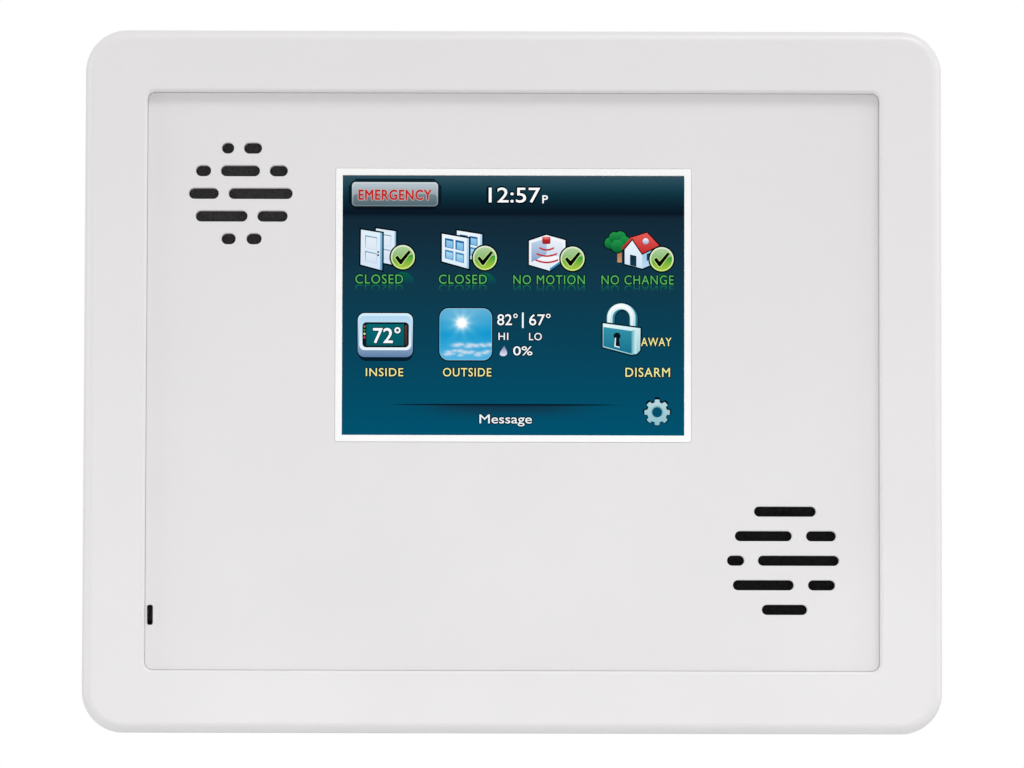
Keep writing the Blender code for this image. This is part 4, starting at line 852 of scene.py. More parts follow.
def build_front_frame():
    """The shell: its section, from the rear rim past the recess to the ledge and back, carried all round."""
    rear, front = CASE_OUT
    recess = FRAME_WIDTH
    ledge_front = PLATE_OUT[0] - FIT_GAP
    ledge_back = ledge_front - LEDGE_THICKNESS
    section = filleted(
        (
            (0.0, rear, 0.3 * MM),
            (0.0, front, FRONT_ROUNDING),
            (recess, front, RECESS_LIP),
            (recess, ledge_front, 0.1 * MM),
            (recess + LEDGE_WIDTH, ledge_front, 0.2 * MM),
            (recess + LEDGE_WIDTH, ledge_back, 0.2 * MM),
            (recess - RETURN_WALL, ledge_back, 0.2 * MM),
            (recess - RETURN_WALL, front - CASE_WALL, 0.4 * MM),
            (CASE_WALL, front - CASE_WALL, 0.6 * MM),
            (CASE_WALL, rear, 0.3 * MM),
        ),
        steps=8,
    )
    shell = framed("case_frame", section, PANEL_WIDTH / 2, PANEL_HEIGHT / 2, frame_radius, steps=20)
    combine(shell, case_bosses() + button_guides(), "UNION")
    combine(shell, case_holes(), "DIFFERENCE")
    return dress(shell, "case_white", "panel", "front_frame")


def grille_outlines(rows, pitch, width, centre):
    """Slots with round ends as (x, z, half width, half height, radius), the top row first."""
    outlines = []
    for row, spans in enumerate(rows):
        z = centre[1] + ((len(rows) - 1) / 2 - row) * pitch * MM
        for left, right in spans:
            x = centre[0] + (left + right) / 2 * MM
            half_height = width / 2 * MM
            outlines.append((x, z, (right - left) / 2 * MM, half_height, half_height))
    return outlines


def build_face_plate():
    """Flat insert with rounded rims, both grilles, the screen window and the pry notch at its left edge."""
    back, front = PLATE_OUT
    reach = RECESS_EASE + FIT_GAP - SEAM_GAP
    plate_x = (PLATE_X[0] - reach, PLATE_X[1] + reach)
    plate_z = (PLATE_Z[0] - reach, PLATE_Z[1] + reach)
    corner = RECESS_RADIUS - SEAM_GAP
    plate = slab("face_insert", plate_x, PLATE_OUT, plate_z, corner, PLATE_EDGE, sharp=12.0)
    speaker_x, _, speaker_z = limits("speaker_cone")
    siren_x, _, siren_z = limits("siren_disc")
    speaker = (middle(speaker_x) + SPEAKER_SHIFT, middle(speaker_z))
    siren = (middle(siren_x) + SIREN_SHIFT, middle(siren_z))
    outlines = grille_outlines(SPEAKER_ROWS, SPEAKER_ROW_PITCH, SPEAKER_SLOT, speaker)
    outlines += grille_outlines(SIREN_ROWS, SIREN_ROW_PITCH, SIREN_SLOT, siren)
    slots = lipped_cutter("slots", outlines, front, back - MM, SLOT_LIP)
    half_width = span(SURROUND_X) / 2 + SEAM_GAP
    half_height = span(SURROUND_Z) / 2 + SEAM_GAP
    window = (middle(SURROUND_X), middle(SURROUND_Z), half_width, half_height, 0.3 * MM)
    window_cutter = lipped_cutter("window", [window], front, back - MM, PLATE_EDGE)
    pocket_x = (GLASS_X[0] - FIT_GAP, GLASS_X[1] + FIT_GAP)
    pocket_z = (GLASS_Z[0] - FIT_GAP, GLASS_Z[1] + FIT_GAP)
    pocket = slab("pocket", pocket_x, (back - MM, GLASS_OUT[1] + FIT_GAP), pocket_z, 0.4 * MM, 0.05 * MM)
    notch_x = (plate_x[0] + NOTCH_WALL, plate_x[0] + NOTCH_DEPTH)
    notch_z = around(NOTCH_MIDDLE, NOTCH_HEIGHT)
    notch = slab("notch", notch_x, (back - MM, front + MM), notch_z, 0.45 * MM, 0.05 * MM)
    combine(plate, [slots, window_cutter, pocket, notch], "DIFFERENCE", 12.0)
    return dress(plate, "face_white", "panel", "face_plate")


def build_grille_cloths():
    """The black cloth behind each grille, a thin disc of fine round cells in its height and colour."""
    for name, node, finish in (("speaker", "speaker_gasket", CLOTH), ("siren", "siren_gasket", DARK_CLOTH)):
        x, _, z = limits(node)
        front = PLATE_OUT[0] - CLOTH_GAP
        back = front - CLOTH_THICKNESS
        radius = span(x) / 2 - CLOTH_INSET
        profile = [(0.0, back), (radius, back), (radius, front), (0.0, front)]
        cloth = turned(name + "_cloth", profile, (middle(x), middle(z)), steps=72)
        cloth.data.materials.append(finish)
        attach(cloth, "panel")


def build_surround():
    """The white strip round the lit area, with softly rounded rims and nearly square corners."""
    rear, front = SURROUND_OUT
    width = SURROUND_WIDTH
    section = filleted(
        (
            (0.0, rear, 0.05 * MM),
            (0.0, front, 0.12 * MM),
            (width, front, 0.1 * MM),
            (width, rear, 0.05 * MM),
        ),
        steps=5,
        support=0.04 * MM,
    )
    centre = (middle(SURROUND_X), middle(SURROUND_Z))
    strip = framed(
        "screen_strip",
        section,
        span(SURROUND_X) / 2,
        span(SURROUND_Z) / 2,
        lambda inset: np.interp(inset, (0.0, width), (0.25 * MM, 0.12 * MM)),
        centre,
        6,
    )
    return dress(strip, "surround_white", "panel", "screen_surround")


def softened(node, slot, body, width):
    """A copy of a construction node with its doubles merged, flat faces joined and its edges rounded."""
    sharp = 30.0
    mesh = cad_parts[node].data.copy()
    mesh.name = node + "_finished"
    body_mesh = bmesh.new()
    body_mesh.from_mesh(mesh)
    bmesh.ops.remove_doubles(body_mesh, verts=body_mesh.verts, dist=2e-6)
    flat = math.radians(0.5)
    bmesh.ops.dissolve_limit(body_mesh, angle_limit=flat, verts=body_mesh.verts, edges=body_mesh.edges)
    body_mesh.to_mesh(mesh)
    body_mesh.free()
    piece = bpy.data.objects.new(node + "_finished", mesh)
    bpy.context.scene.collection.objects.link(piece)
    bevel = piece.modifiers.new("rounding", "BEVEL")
    bevel.width = width
    bevel.segments = 2
    bevel.limit_method = "ANGLE"
    bevel.angle_limit = math.radians(sharp)
    smooth(mesh, sharp)
    return dress(piece, slot, body, node)


def build_release_button(side):
    """Cap with finger grooves across its top, on the flange and leg that keep it in the case."""
    name = "release_button_" + ("left" if side < 0 else "right")
    x, out, z = limits(name)
    inner_top = CASE_Z[1] - CASE_WALL
    flange_z = (inner_top - FIT_GAP - BUTTON_FLANGE, inner_top - FIT_GAP)
    joined = flange_z[0] + BUTTON_OVERLAP
    cap_x = around(side * BUTTON_MIDDLE, BUTTON_WIDTH)
    cap_out = around(BUTTON_OUT, BUTTON_DEPTH)
    cap = upright(name + "_cap", cap_x, cap_out, (joined, z[1]), 0.9 * MM, 0.35 * MM, 9)
    flange = upright(name + "_flange", x, out, flange_z, 0.4 * MM, 0.15 * MM)
    leg_x = around(side * BUTTON_MIDDLE, BUTTON_WIDTH / 3)
    leg_out = around(BUTTON_OUT, BUTTON_DEPTH / 2)
    leg = upright(name + "_leg", leg_x, leg_out, (z[0], joined), 0.3 * MM, 0.1 * MM)
    combine(cap, [flange, leg], "UNION")
    grooves = []
    groove_out = around(BUTTON_OUT, 3 * MM)
    groove_z = (z[1] - GROOVE_DEPTH, z[1] + 0.6 * MM)
    for place in range(BUTTON_GROOVES):
        middle_x = side * BUTTON_MIDDLE + (place - (BUTTON_GROOVES - 1) / 2) * GROOVE_PITCH
        groove_x = around(middle_x, GROOVE_WIDTH)
        grooves.append(upright(f"groove_{place}", groove_x, groove_out, groove_z, 0.39 * MM, 0.1 * MM))
    combine(cap, grooves, "DIFFERENCE")
    return dress(cap, "case_white", "release_" + ("left" if side < 0 else "right"), name)


def build_screw(node, slots):
    """Pan head facing the wall, a thread of close rings along the shank, and one or two crossed slots."""
    centre, head, (low, high) = screw_place(node)
    height = head * SCREW_HEAD_HEIGHT
    shank = head * SCREW_SHANK
    under = low + height
    turn = np.radians(np.linspace(0, 90, 7))
    dome = np.stack([head * (0.35 + 0.65 * np.sin(turn)), low + height * 0.6 * (1 - np.cos(turn))], axis=-1)
    ring = np.arange(int((high - under - shank) / (SCREW_PITCH / 2)))
    thread = np.stack([shank * np.where(ring % 2, 1.0, 0.82), under + (ring + 1) * SCREW_PITCH / 2], axis=-1)
    profile = np.concatenate([[(0.0, low)], dome, [(head, under), (shank, under)], thread, [(0.0, high)]])
    screw = turned(node + "_turned", profile, centre, steps=32)
    depth = (low - MM, low + height * 0.6)
    long, thin = head * 1.2, head * 0.26
    recess = []
    for wide, tall in ((long, thin), (thin, long))[:slots]:
        x, z = around(centre[0], wide), around(centre[1], tall)
        recess.append(slab(f"recess_{len(recess)}", x, depth, z, thin / 3, 0.02 * MM, steps=4))
    combine(screw, recess, "DIFFERENCE")
    return dress(screw, "screw_steel", "panel", node)


def build_fixings():
    for number in range(1, 5):
        build_screw(f"case_screw_{number}", 2)
        build_screw(f"board_screw_{number}", 2)
    build_screw("battery_cover_screw", 2)
    for number in range(1, 7):
        build_screw(f"terminal_screw_{number}", 1)


# ---------------------------------------------------------------- what the screen shows


PICTURE = "picture"
PICTURE_LIFT = 0.02 * MM
LAYOUT_WIDTH = 70.1
LAYOUT_HEIGHT = 52.6
CAPITAL_HEIGHT = 0.72  # of lettering whose size is 1
RULE_V = 46.4
RULE_MIDDLE = 33.5
GEAR_CENTRE = (64.59, 47.86)
SKY_SEED = 3
CLOUD_PUFFS = 16
GLOW = glow_material("screen_light", PICTURE)

# The picture's ground: (distance down, red, green and blue levels)
GROUND_STOPS = (
    (0.0, (52, 80, 94)),
    (2.0, (30, 67, 80)),
    (4.0, (14, 49, 62)),
    (7.7, (10, 22, 35)),
    (8.0, (16, 33, 46)),
    (8.7, (20, 41, 56)),
    (21.0, (17, 56, 74)),
    (33.0, (9, 66, 88)),
    (52.6, (1, 82, 111)),
)


def on_screen(u, v, layer):
    """A place on the screen's layout, stretched to fill the lit area, as a point in the room."""
    x = LIT_LEFT + np.asarray(u) * (LIT_WIDTH / LAYOUT_WIDTH)
    z = LIT_TOP - np.asarray(v) * (LIT_HEIGHT / LAYOUT_HEIGHT)
    y = np.full(np.shape(x), -(GLASS_OUT[1] + PICTURE_LIFT * layer))
    return np.stack([x, y, z], axis=-1)


def screen_object(name, points, faces, colours):
    """An open sheet on the display's face, with its colours kept as an attribute of its points."""
    mesh = bpy.data.meshes.new(name)
    mesh.from_pydata(points.tolist(), [], faces)
    attribute = mesh.attributes.new(PICTURE, "FLOAT_COLOR", "POINT")
    full = np.concatenate([colours, np.ones((len(colours), 1))], axis=1)
    attribute.data.foreach_set("color", full.astype(np.float32).ravel())
    mesh.materials.append(GLOW)
    piece = bpy.data.objects.new(name, mesh)
    bpy.context.scene.collection.objects.link(piece)
    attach(piece, "panel")
    return piece


def background(u, v):
    """The picture's ground: a gradient down the screen between its stops, darker under the lower rule."""
    stops, colours = zip(*GROUND_STOPS)
    levels = [np.interp(v, stops, channel) for channel in zip(*colours)]
    ground = np.stack([linear(level) for level in levels], axis=-1)
    below = np.clip((v - RULE_V) / 3.4, 0, 1)
    sideways = np.exp(-(((u - RULE_MIDDLE) / 15.0) ** 4))
    shade = np.where(v > RULE_V, (1 - below) ** 1.5, 0.0) * sideways
    dark = linear((22, 38, 52))
    return ground + (dark - ground) * (0.85 * shade)[..., None]


def build_background():
    """A sheet of 0.35 mm squares over the lit area, coloured by the background's formula."""
    columns, rows = 201, 151
    u, v = np.meshgrid(np.linspace(0, LAYOUT_WIDTH, columns), np.linspace(0, LAYOUT_HEIGHT, rows))
    points = on_screen(u, v, 1).reshape(-1, 3)
    screen_object("picture_ground", points, sheet_faces(rows, columns), background(u, v).reshape(-1, 3))


class Drawing:
    """Flat shapes in layers that become one piece; each shades evenly from its top to its bottom colour."""

    def __init__(self, name, layer=2.0):
        self.name = name
        self.layer = layer
        self.points = []
        self.colours = []
        self.faces = []
        self.count = 0

    def add(self, outline, top, bottom=None, sideways=False):
        """One polygon above those before it."""
        outline = np.array(outline, float)
        ahead = np.roll(outline, -1, axis=0)
        area = (outline[:, 0] * ahead[:, 1] - ahead[:, 0] * outline[:, 1]).sum()
        if area > 0:
            outline = outline[::-1]
        along = outline[:, 0] if sideways else outline[:, 1]
        share = (along - along.min()) / max(np.ptp(along), 1e-6)
        first = linear(top)
        last = first if bottom is None else linear(bottom)
        self.colours.append(first + (last - first) * share[:, None])
        self.points.append(on_screen(outline[:, 0], outline[:, 1], self.layer))
        self.faces.append(list(range(self.count, self.count + len(outline))))
        self.count += len(outline)
        self.layer += 0.4

    def band(self, outer, inner, top, bottom=None):
        """A closed ring between two outlines of as many points."""
        outer, inner = np.array(outer, float), np.array(inner, float)
        both = np.concatenate([outer, inner])
        share = (both[:, 1] - both[:, 1].min()) / np.ptp(both[:, 1])
        first = linear(top)
        last = first if bottom is None else linear(bottom)
        self.colours.append(first + (last - first) * share[:, None])
        self.points.append(on_screen(both[:, 0], both[:, 1], self.layer))
        size = len(outer)
        step = np.arange(size)
        ahead = (step + 1) % size
        quads = np.stack([step, ahead, size + ahead, size + step], axis=-1) + self.count
        self.faces += quads.tolist()
        self.count += 2 * size
        self.layer += 0.4

    def finish(self):
        colours = np.concatenate(self.colours)
        return screen_object(self.name, np.concatenate(self.points), self.faces, colours)


def circle(u, v, radius, steps=56, radius_v=None):
    angle = np.linspace(0, 2 * math.pi, steps, endpoint=False)
    return np.stack([u + radius * np.cos(angle), v - (radius_v or radius) * np.sin(angle)], axis=-1)


def rounded_box(u, v, radius, steps=9):
    """Outline of a box between (left, right) and (top, bottom), with round corners."""
    x, z = rounded_loops(span(u) / 2, span(v) / 2, radius, steps, 0.0)
    return np.stack([middle(u) + x[0], middle(v) - z[0]], axis=-1)


def grown(outline, distance):
    """An outline moved outwards: each point goes along the mean normal of its two sides."""
    outline = np.array(outline, float)
    back = outline - np.roll(outline, 1, axis=0)
    ahead = np.roll(outline, -1, axis=0) - outline
    beyond = outline + ahead
    area = (outline[:, 0] * beyond[:, 1] - beyond[:, 0] * outline[:, 1]).sum()
    back /= np.linalg.norm(back, axis=1, keepdims=True) + 1e-9
    ahead /= np.linalg.norm(ahead, axis=1, keepdims=True) + 1e-9
    along = back + ahead
    normal = np.stack([along[:, 1], -along[:, 0]], axis=-1) * np.sign(area)
    length = np.maximum((normal**2).sum(1, keepdims=True) / 2, 0.4)
    return outline + normal / length * distance


def stroke(path, width):
    """A line of even width along a path, as an outline with square ends."""
    path = np.array(path, float)
    along = np.gradient(path, axis=0)
    along /= np.linalg.norm(along, axis=1, keepdims=True)
    side = np.stack([along[:, 1], -along[:, 0]], axis=-1) * width / 2
    return np.concatenate([path + side, (path - side)[::-1]])


def within(quad, across, down):
    """Places inside a four-cornered shape, from shares across and down it, along straight lines."""
    a, b, c, d = (np.array(corner, float) for corner in quad)
    across = np.asarray(across, float)[:, None]
    down = np.asarray(down, float)[:, None]
    return (a * (1 - across) + b * across) * (1 - down) + (d * (1 - across) + c * across) * down


def pane(quad, left, right, top, bottom):
    return within(quad, (left, right, right, left), (top, top, bottom, bottom))


def letter_shapes(name, text):
    """Lettering's filled outlines as flat points and faces."""
    curve = bpy.data.curves.new(name, "FONT")
    curve.body = text
    curve.resolution_u = 4
    curve.space_character = 1.12 if text.isupper() else 1.0
    flat = bpy.data.objects.new(name, curve)
    bpy.context.scene.collection.objects.link(flat)
    bpy.context.view_layer.update()
    graph = bpy.context.evaluated_depsgraph_get()
    mesh = bpy.data.meshes.new_from_object(flat.evaluated_get(graph))
    bpy.data.objects.remove(flat)
    places = np.empty(3 * len(mesh.vertices), np.float32)
    mesh.vertices.foreach_get("co", places)
    points = places.reshape(-1, 3)[:, :2].astype(float)
    faces = [list(side.vertices) for side in mesh.polygons]
    bpy.data.meshes.remove(mesh)
    return points, faces


def words(name, text, u, v, colour, heavier=0.0, layer=6.0, mirror=False):
    """Lettering stretched so that it fills (left, right), and its capitals (top, bottom).

    Heavier letters, and the dark halo behind others, are the same shapes set again all round.
    With a mirror it is the faint upside-down copy below a label, which fades into the ground.
    """
    points, faces = letter_shapes(name, text)
    low, high = points.min(0), points.max(0)
    share = (points[:, 0] - low[0]) / (high[0] - low[0])
    rise = points[:, 1] / CAPITAL_HEIGHT
    across = u[0] + share * span(u)
    down = v[1] - rise * span(v)
    colours = np.tile(linear(colour), (len(points), 1))
    if mirror:
        down = v[1] + 0.2 + rise * span(v) * 0.75
        fade = np.clip(0.5 - 0.55 * rise, 0, 1)[:, None]
        colours = background(across, down) * (1 - fade) + linear(colour) * fade
    turns = np.linspace(0, 2 * math.pi, 8, endpoint=False) if heavier else np.zeros(1)
    sheets = [
        on_screen(across + heavier * math.cos(turn), down + heavier * math.sin(turn), layer + 0.02 * place)
        for place, turn in enumerate(turns)
    ]
    count = len(points)
    every = [(np.array(face) + count * place).tolist() for place in range(len(turns)) for face in faces]
    return screen_object(name, np.concatenate(sheets), every, np.tile(colours, (len(turns), 1)))


def tick_disc(name, u, v):
    """Green status disc: pale rim, two-tone face and a dark tick, with a faint mirrored disc under it."""
    arch = np.radians(np.linspace(0, 180, 30))
    under = np.stack([u + 2.4 * np.cos(arch), v + 5.4 - 2.4 * np.sin(arch)], axis=-1)
    mirror = Drawing(name + "_mirror", 1.6)
    mirror.add(under, (6, 92, 74), (14, 60, 80))
    mirror.finish()
    disc = Drawing(name, 9.0)
    disc.add(circle(u, v, 2.75), (6, 20, 26), (4, 14, 18))
    disc.add(circle(u, v, 2.45), (226, 238, 218), (206, 232, 120))
    disc.add(circle(u, v, 2.15), (176, 208, 156), (70, 150, 60))
    angle = np.radians(np.linspace(14, -166, 30))
    bowl = np.stack([u + 2.12 * np.cos(angle), v - 2.12 * np.sin(angle)], axis=-1)
    disc.add(bowl, (16, 152, 56), (164, 200, 64))
    tick = np.array(
        [(-1.6, 0.1), (-1.1, -0.32), (-0.42, 0.45), (1.2, -1.35), (1.68, -1.1), (-0.28, 1.5), (-0.62, 1.42)]
    )
    disc.add(grown(tick, 0.16) + (u, v), (170, 214, 120), (206, 232, 140))
    disc.add(tick + (u, v), (4, 8, 6))
    return disc.finish()


def build_title():
    button = Drawing("emergency_key")
    edge = rounded_box((1.87, 19.54), (1.3, 6.2), 0.75)
    button.add(grown(edge, 0.35), (12, 36, 46), (8, 18, 28))
    button.add(edge, (206, 216, 222), (110, 128, 136))
    button.add(rounded_box((2.12, 19.29), (1.58, 3.85), 0.6), (186, 198, 206), (150, 164, 172))
    button.add(rounded_box((2.12, 19.29), (3.75, 5.95), 0.6), (116, 134, 142), (82, 104, 112))
    button.finish()
    words("emergency_halo", "EMERGENCY", (3.28, 18.15), (2.82, 4.86), (188, 172, 172), 0.2, 7.0)
    words("emergency_word", "EMERGENCY", (3.28, 18.15), (2.82, 4.86), (192, 34, 34), 0.06, 8.0)
    words("clock_halo", "12:57", (29.81, 40.59), (2.19, 5.43), (5, 18, 26), 0.3, 5.0)
    words("clock", "12:57", (30.0, 40.5), (2.25, 5.35), (255, 255, 255), 0.03)
    words("clock_half", "P", (41.0, 42.1), (3.85, 5.5), (255, 255, 255), 0.03)


def build_doors():
    icon = Drawing("icon_doors")
    rear = [(6.84, 10.72), (10.94, 11.31), (10.94, 18.2), (6.84, 17.4)]
    front = [(3.76, 10.97), (8.13, 11.66), (8.13, 19.22), (3.7, 18.06)]
    for quad, edge in ((rear, 0.28), (front, 0.42)):
        quad = np.array(quad)
        icon.add(grown(quad, 0.32), (6, 16, 24))
        icon.add(quad, (226, 240, 250), (214, 230, 246))
        side = np.array([quad[1] - (edge, 0.04), quad[1], quad[2], quad[2] - (edge, 0.08)])
        icon.add(side, (128, 190, 226), (94, 160, 206))
        icon.add(pane(quad, 0.2, 0.76, 0.14, 0.5), (92, 140, 176), (206, 224, 240))
        icon.add(pane(quad, 0.24, 0.74, 0.17, 0.49), (232, 240, 248), (216, 230, 244))
        icon.add(pane(quad, 0.2, 0.76, 0.58, 0.88), (92, 140, 176), (206, 224, 240))
        icon.add(pane(quad, 0.24, 0.74, 0.61, 0.87), (230, 238, 246), (206, 222, 240))
    for lift in (0.0, 0.65):
        icon.add(circle(7.3, 15.5 + lift, 0.2, 16), (40, 36, 30))
    icon.finish()
    tick_disc("tick_doors", 12.36, 16.54)


def build_windows():
    icon = Drawing("icon_windows")
    rear = [(23.45, 11.09), (28.62, 11.9), (28.62, 17.4), (23.45, 16.3)]
    front = [(20.39, 11.78), (25.91, 12.71), (25.91, 18.87), (20.39, 17.37)]
    for quad in (rear, front):
        quad = np.array(quad)
        icon.add(grown(quad, 0.32), (6, 16, 24))
        icon.add(quad, (238, 248, 255), (220, 238, 252))
        side = np.array([quad[1] - (0.42, 0.06), quad[1], quad[2], quad[2] - (0.42, 0.1)])
        icon.add(side, (190, 222, 244), (150, 200, 236))
        for left, right in ((0.11, 0.43), (0.5, 0.82)):
            for top, bottom, dark, pale in (
                (0.13, 0.46, (34, 96, 150), (150, 206, 238)),
                (0.54, 0.86, (70, 140, 190), (176, 222, 246)),
            ):
                icon.add(pane(quad, left, right, top, bottom), dark, dark)
                glass = pane(quad, left + 0.05, right - 0.03, top + 0.07, bottom - 0.02)
                icon.add(glass, pale, (120, 180, 226))
    icon.finish()
    tick_disc("tick_windows", 29.21, 16.66)


def arc_path(u, v, half_width, drop, steps=14):
    """A shallow bow between two ends at the same height: its drop follows 1 - s squared."""
    s = np.linspace(-1, 1, steps)
    return np.stack([u + half_width * s, v + drop * (1 - s**2)], axis=-1)


def build_motion():
    icon = Drawing("icon_motion")
    hexagon = [(38.27, 13.16), (41.8, 11.96), (45.72, 13.03), (45.72, 16.6), (42.54, 19.22), (38.27, 18.0)]
    icon.add(grown(hexagon, 0.3), (6, 16, 24))
    icon.add(hexagon, (244, 248, 252), (232, 240, 248))
    left_wall = [(38.75, 13.6), (41.85, 12.6), (41.85, 15.9), (38.75, 17.5)]
    right_wall = [(41.85, 12.6), (45.2, 13.5), (45.2, 16.5), (41.85, 15.9)]
    base = [(38.75, 17.5), (41.85, 15.9), (45.2, 16.5), (42.5, 18.6)]
    icon.add(left_wall, (196, 214, 236), (128, 158, 196))
    icon.add(right_wall, (240, 245, 251), (206, 220, 238))
    icon.add(base, (250, 252, 255), (226, 236, 246))
    icon.add([(42.54, 19.22), (42.5, 18.75), (45.3, 16.85), (45.72, 16.6), (45.72, 17.0)], (60, 140, 190))
    for drop, v, half_width in ((0.45, 14.55, 1.5), (0.5, 15.75, 2.1), (0.55, 17.0, 2.35)):
        icon.add(stroke(arc_path(41.9, v, half_width, drop), 0.34), (208, 50, 62), (176, 30, 44))
    icon.add(rounded_box((40.96, 42.66), (12.32, 13.8), 0.3), (206, 54, 58), (150, 22, 28))
    icon.add(circle(41.8, 12.6, 0.72, 24, 0.28), (240, 130, 128), (222, 90, 90))
    icon.finish()
    tick_disc("tick_motion", 47.2, 16.78)


def build_house():
    icon = Drawing("icon_house")
    icon.add(rounded_box((56.4, 57.3), (15.0, 17.5), 0.1), (160, 110, 70), (206, 150, 104))
    lobes = [(54.9, 13.6, 1.15), (55.8, 12.5, 1.15), (57.0, 12.4, 1.2), (57.9, 13.3, 1.1), (56.4, 14.2, 1.3)]
    for u, v, radius in lobes:
        icon.add(circle(u, v, radius + 0.2, 28), (6, 22, 20))
    for u, v, radius in lobes:
        icon.add(circle(u, v, radius, 28), (34, 150, 74), (8, 92, 48))
    gable = [(57.9, 14.9), (59.5, 13.0), (61.5, 15.7), (61.5, 18.75), (57.9, 17.8)]
    side = [(61.5, 15.7), (64.4, 14.4), (64.4, 17.5), (61.5, 18.75)]
    icon.add(grown(gable[:3] + side[1:] + gable[4:], 0.28), (6, 16, 24))
    icon.add(gable, (236, 246, 252), (206, 228, 244))
    icon.add(side, (150, 196, 226), (186, 220, 242))
    icon.add([(59.0, 15.9), (60.3, 16.2), (60.3, 18.4), (59.0, 18.05)], (14, 40, 58), (20, 60, 84))
    icon.add([(62.4, 15.8), (63.9, 15.2), (63.9, 16.6), (62.4, 17.2)], (20, 44, 62), (34, 90, 130))
    roof = [(59.31, 12.45), (62.49, 11.47), (64.95, 14.05), (61.53, 15.71)]
    icon.add(grown(roof, 0.22), (30, 8, 12))
    icon.add(roof, (232, 92, 86), (190, 38, 44))
    icon.add(stroke([(57.4, 14.75), (58.4, 13.6), (59.35, 12.5)], 0.42), (214, 66, 62), (170, 34, 36))
    icon.add(circle(62.2, 13.2, 0.62, 28), (246, 248, 252), (120, 170, 214))
    icon.finish()
    tick_disc("tick_house", 65.49, 16.84)


def build_labels():
    green = (88, 182, 90)
    labels = (
        ("CLOSED", (2.65, 12.42), (19.99, 21.89)),
        ("CLOSED", (19.79, 29.62), (19.99, 21.89)),
        ("NO MOTION", (35.07, 49.72), (20.05, 21.95)),
        ("NO CHANGE", (53.15, 67.95), (20.05, 21.95)),
    )
    for place, (text, u, v) in enumerate(labels, 1):
        words(f"status_{place}_mirror", text, u, v, (30, 150, 84), 0.0, 2.5, mirror=True)
        words(f"status_{place}_halo", text, u, v, (8, 34, 40), 0.22, 5.0)
        words(f"status_{place}", text, u, v, green)
    yellow = (238, 232, 158)
    labels = (
        ("inside", "INSIDE", (4.87, 12.52), (38.98, 40.66), yellow),
        ("outside", "OUTSIDE", (20.69, 30.59), (38.92, 40.66), yellow),
        ("away", "AWAY", (61.3, 67.5), (32.68, 34.44), yellow),
        ("disarm", "DISARM", (58.1, 67.2), (38.78, 40.66), yellow),
        ("high_word", "HI", (32.05, 34.04), (31.76, 33.26), (240, 246, 250)),
        ("low_word", "LO", (38.33, 40.9), (31.78, 33.3), (240, 246, 250)),
        ("high_value", "82°", (31.8, 35.95), (27.99, 30.26), (250, 252, 255)),
        ("low_value", "67°", (38.33, 42.7), (27.99, 30.26), (250, 252, 255)),
        ("rain_value", "0%", (35.07, 38.99), (34.5, 36.36), (250, 252, 255)),
        ("message", "Message", (28.2, 38.9), (48.3, 50.15), (236, 244, 248)),
    )
    for name, text, u, v, colour in labels:
        words(name + "_halo", text, u, v, (4, 26, 38), 0.22, 5.0)
        words(name, text, u, v, colour, 0.02)


def build_thermostat():
    icon = Drawing("icon_thermostat")
    shadow = rounded_box((3.3, 14.5), (29.0, 37.6), 1.6)
    icon.add(shadow, (6, 44, 62), (4, 30, 44))
    icon.add(rounded_box((2.95, 14.7), (27.7, 37.05), 1.6), (8, 20, 28), (10, 22, 30))
    icon.add(rounded_box((3.18, 14.47), (27.91, 36.81), 1.4), (216, 240, 252), (96, 128, 168))
    icon.add(rounded_box((3.5, 14.15), (28.5, 35.4), 1.1), (176, 214, 240), (236, 248, 255))
    icon.add(rounded_box((4.13, 13.65), (29.75, 34.85), 0.8), (10, 16, 20), (20, 26, 30))
    icon.add(rounded_box((4.95, 12.65), (30.1, 34.5), 0.1), (4, 104, 112), (6, 88, 98))
    for row, colour in enumerate(((150, 104, 90), (60, 130, 70), (226, 206, 160), (190, 60, 66))):
        icon.add(circle(4.55, 30.6 + 0.75 * row, 0.24, 16), colour)
    icon.add(rounded_box((12.8, 13.3), (30.3, 34.3), 0.1), (86, 60, 56), (60, 44, 42))
    icon.finish()
    words("room_value_halo", "72°", (6.36, 11.9), (30.83, 33.91), (4, 60, 68), 0.25, 7.0)
    words("room_value", "72°", (6.36, 11.9), (30.83, 33.91), (250, 252, 255), 0.06, 8.0)


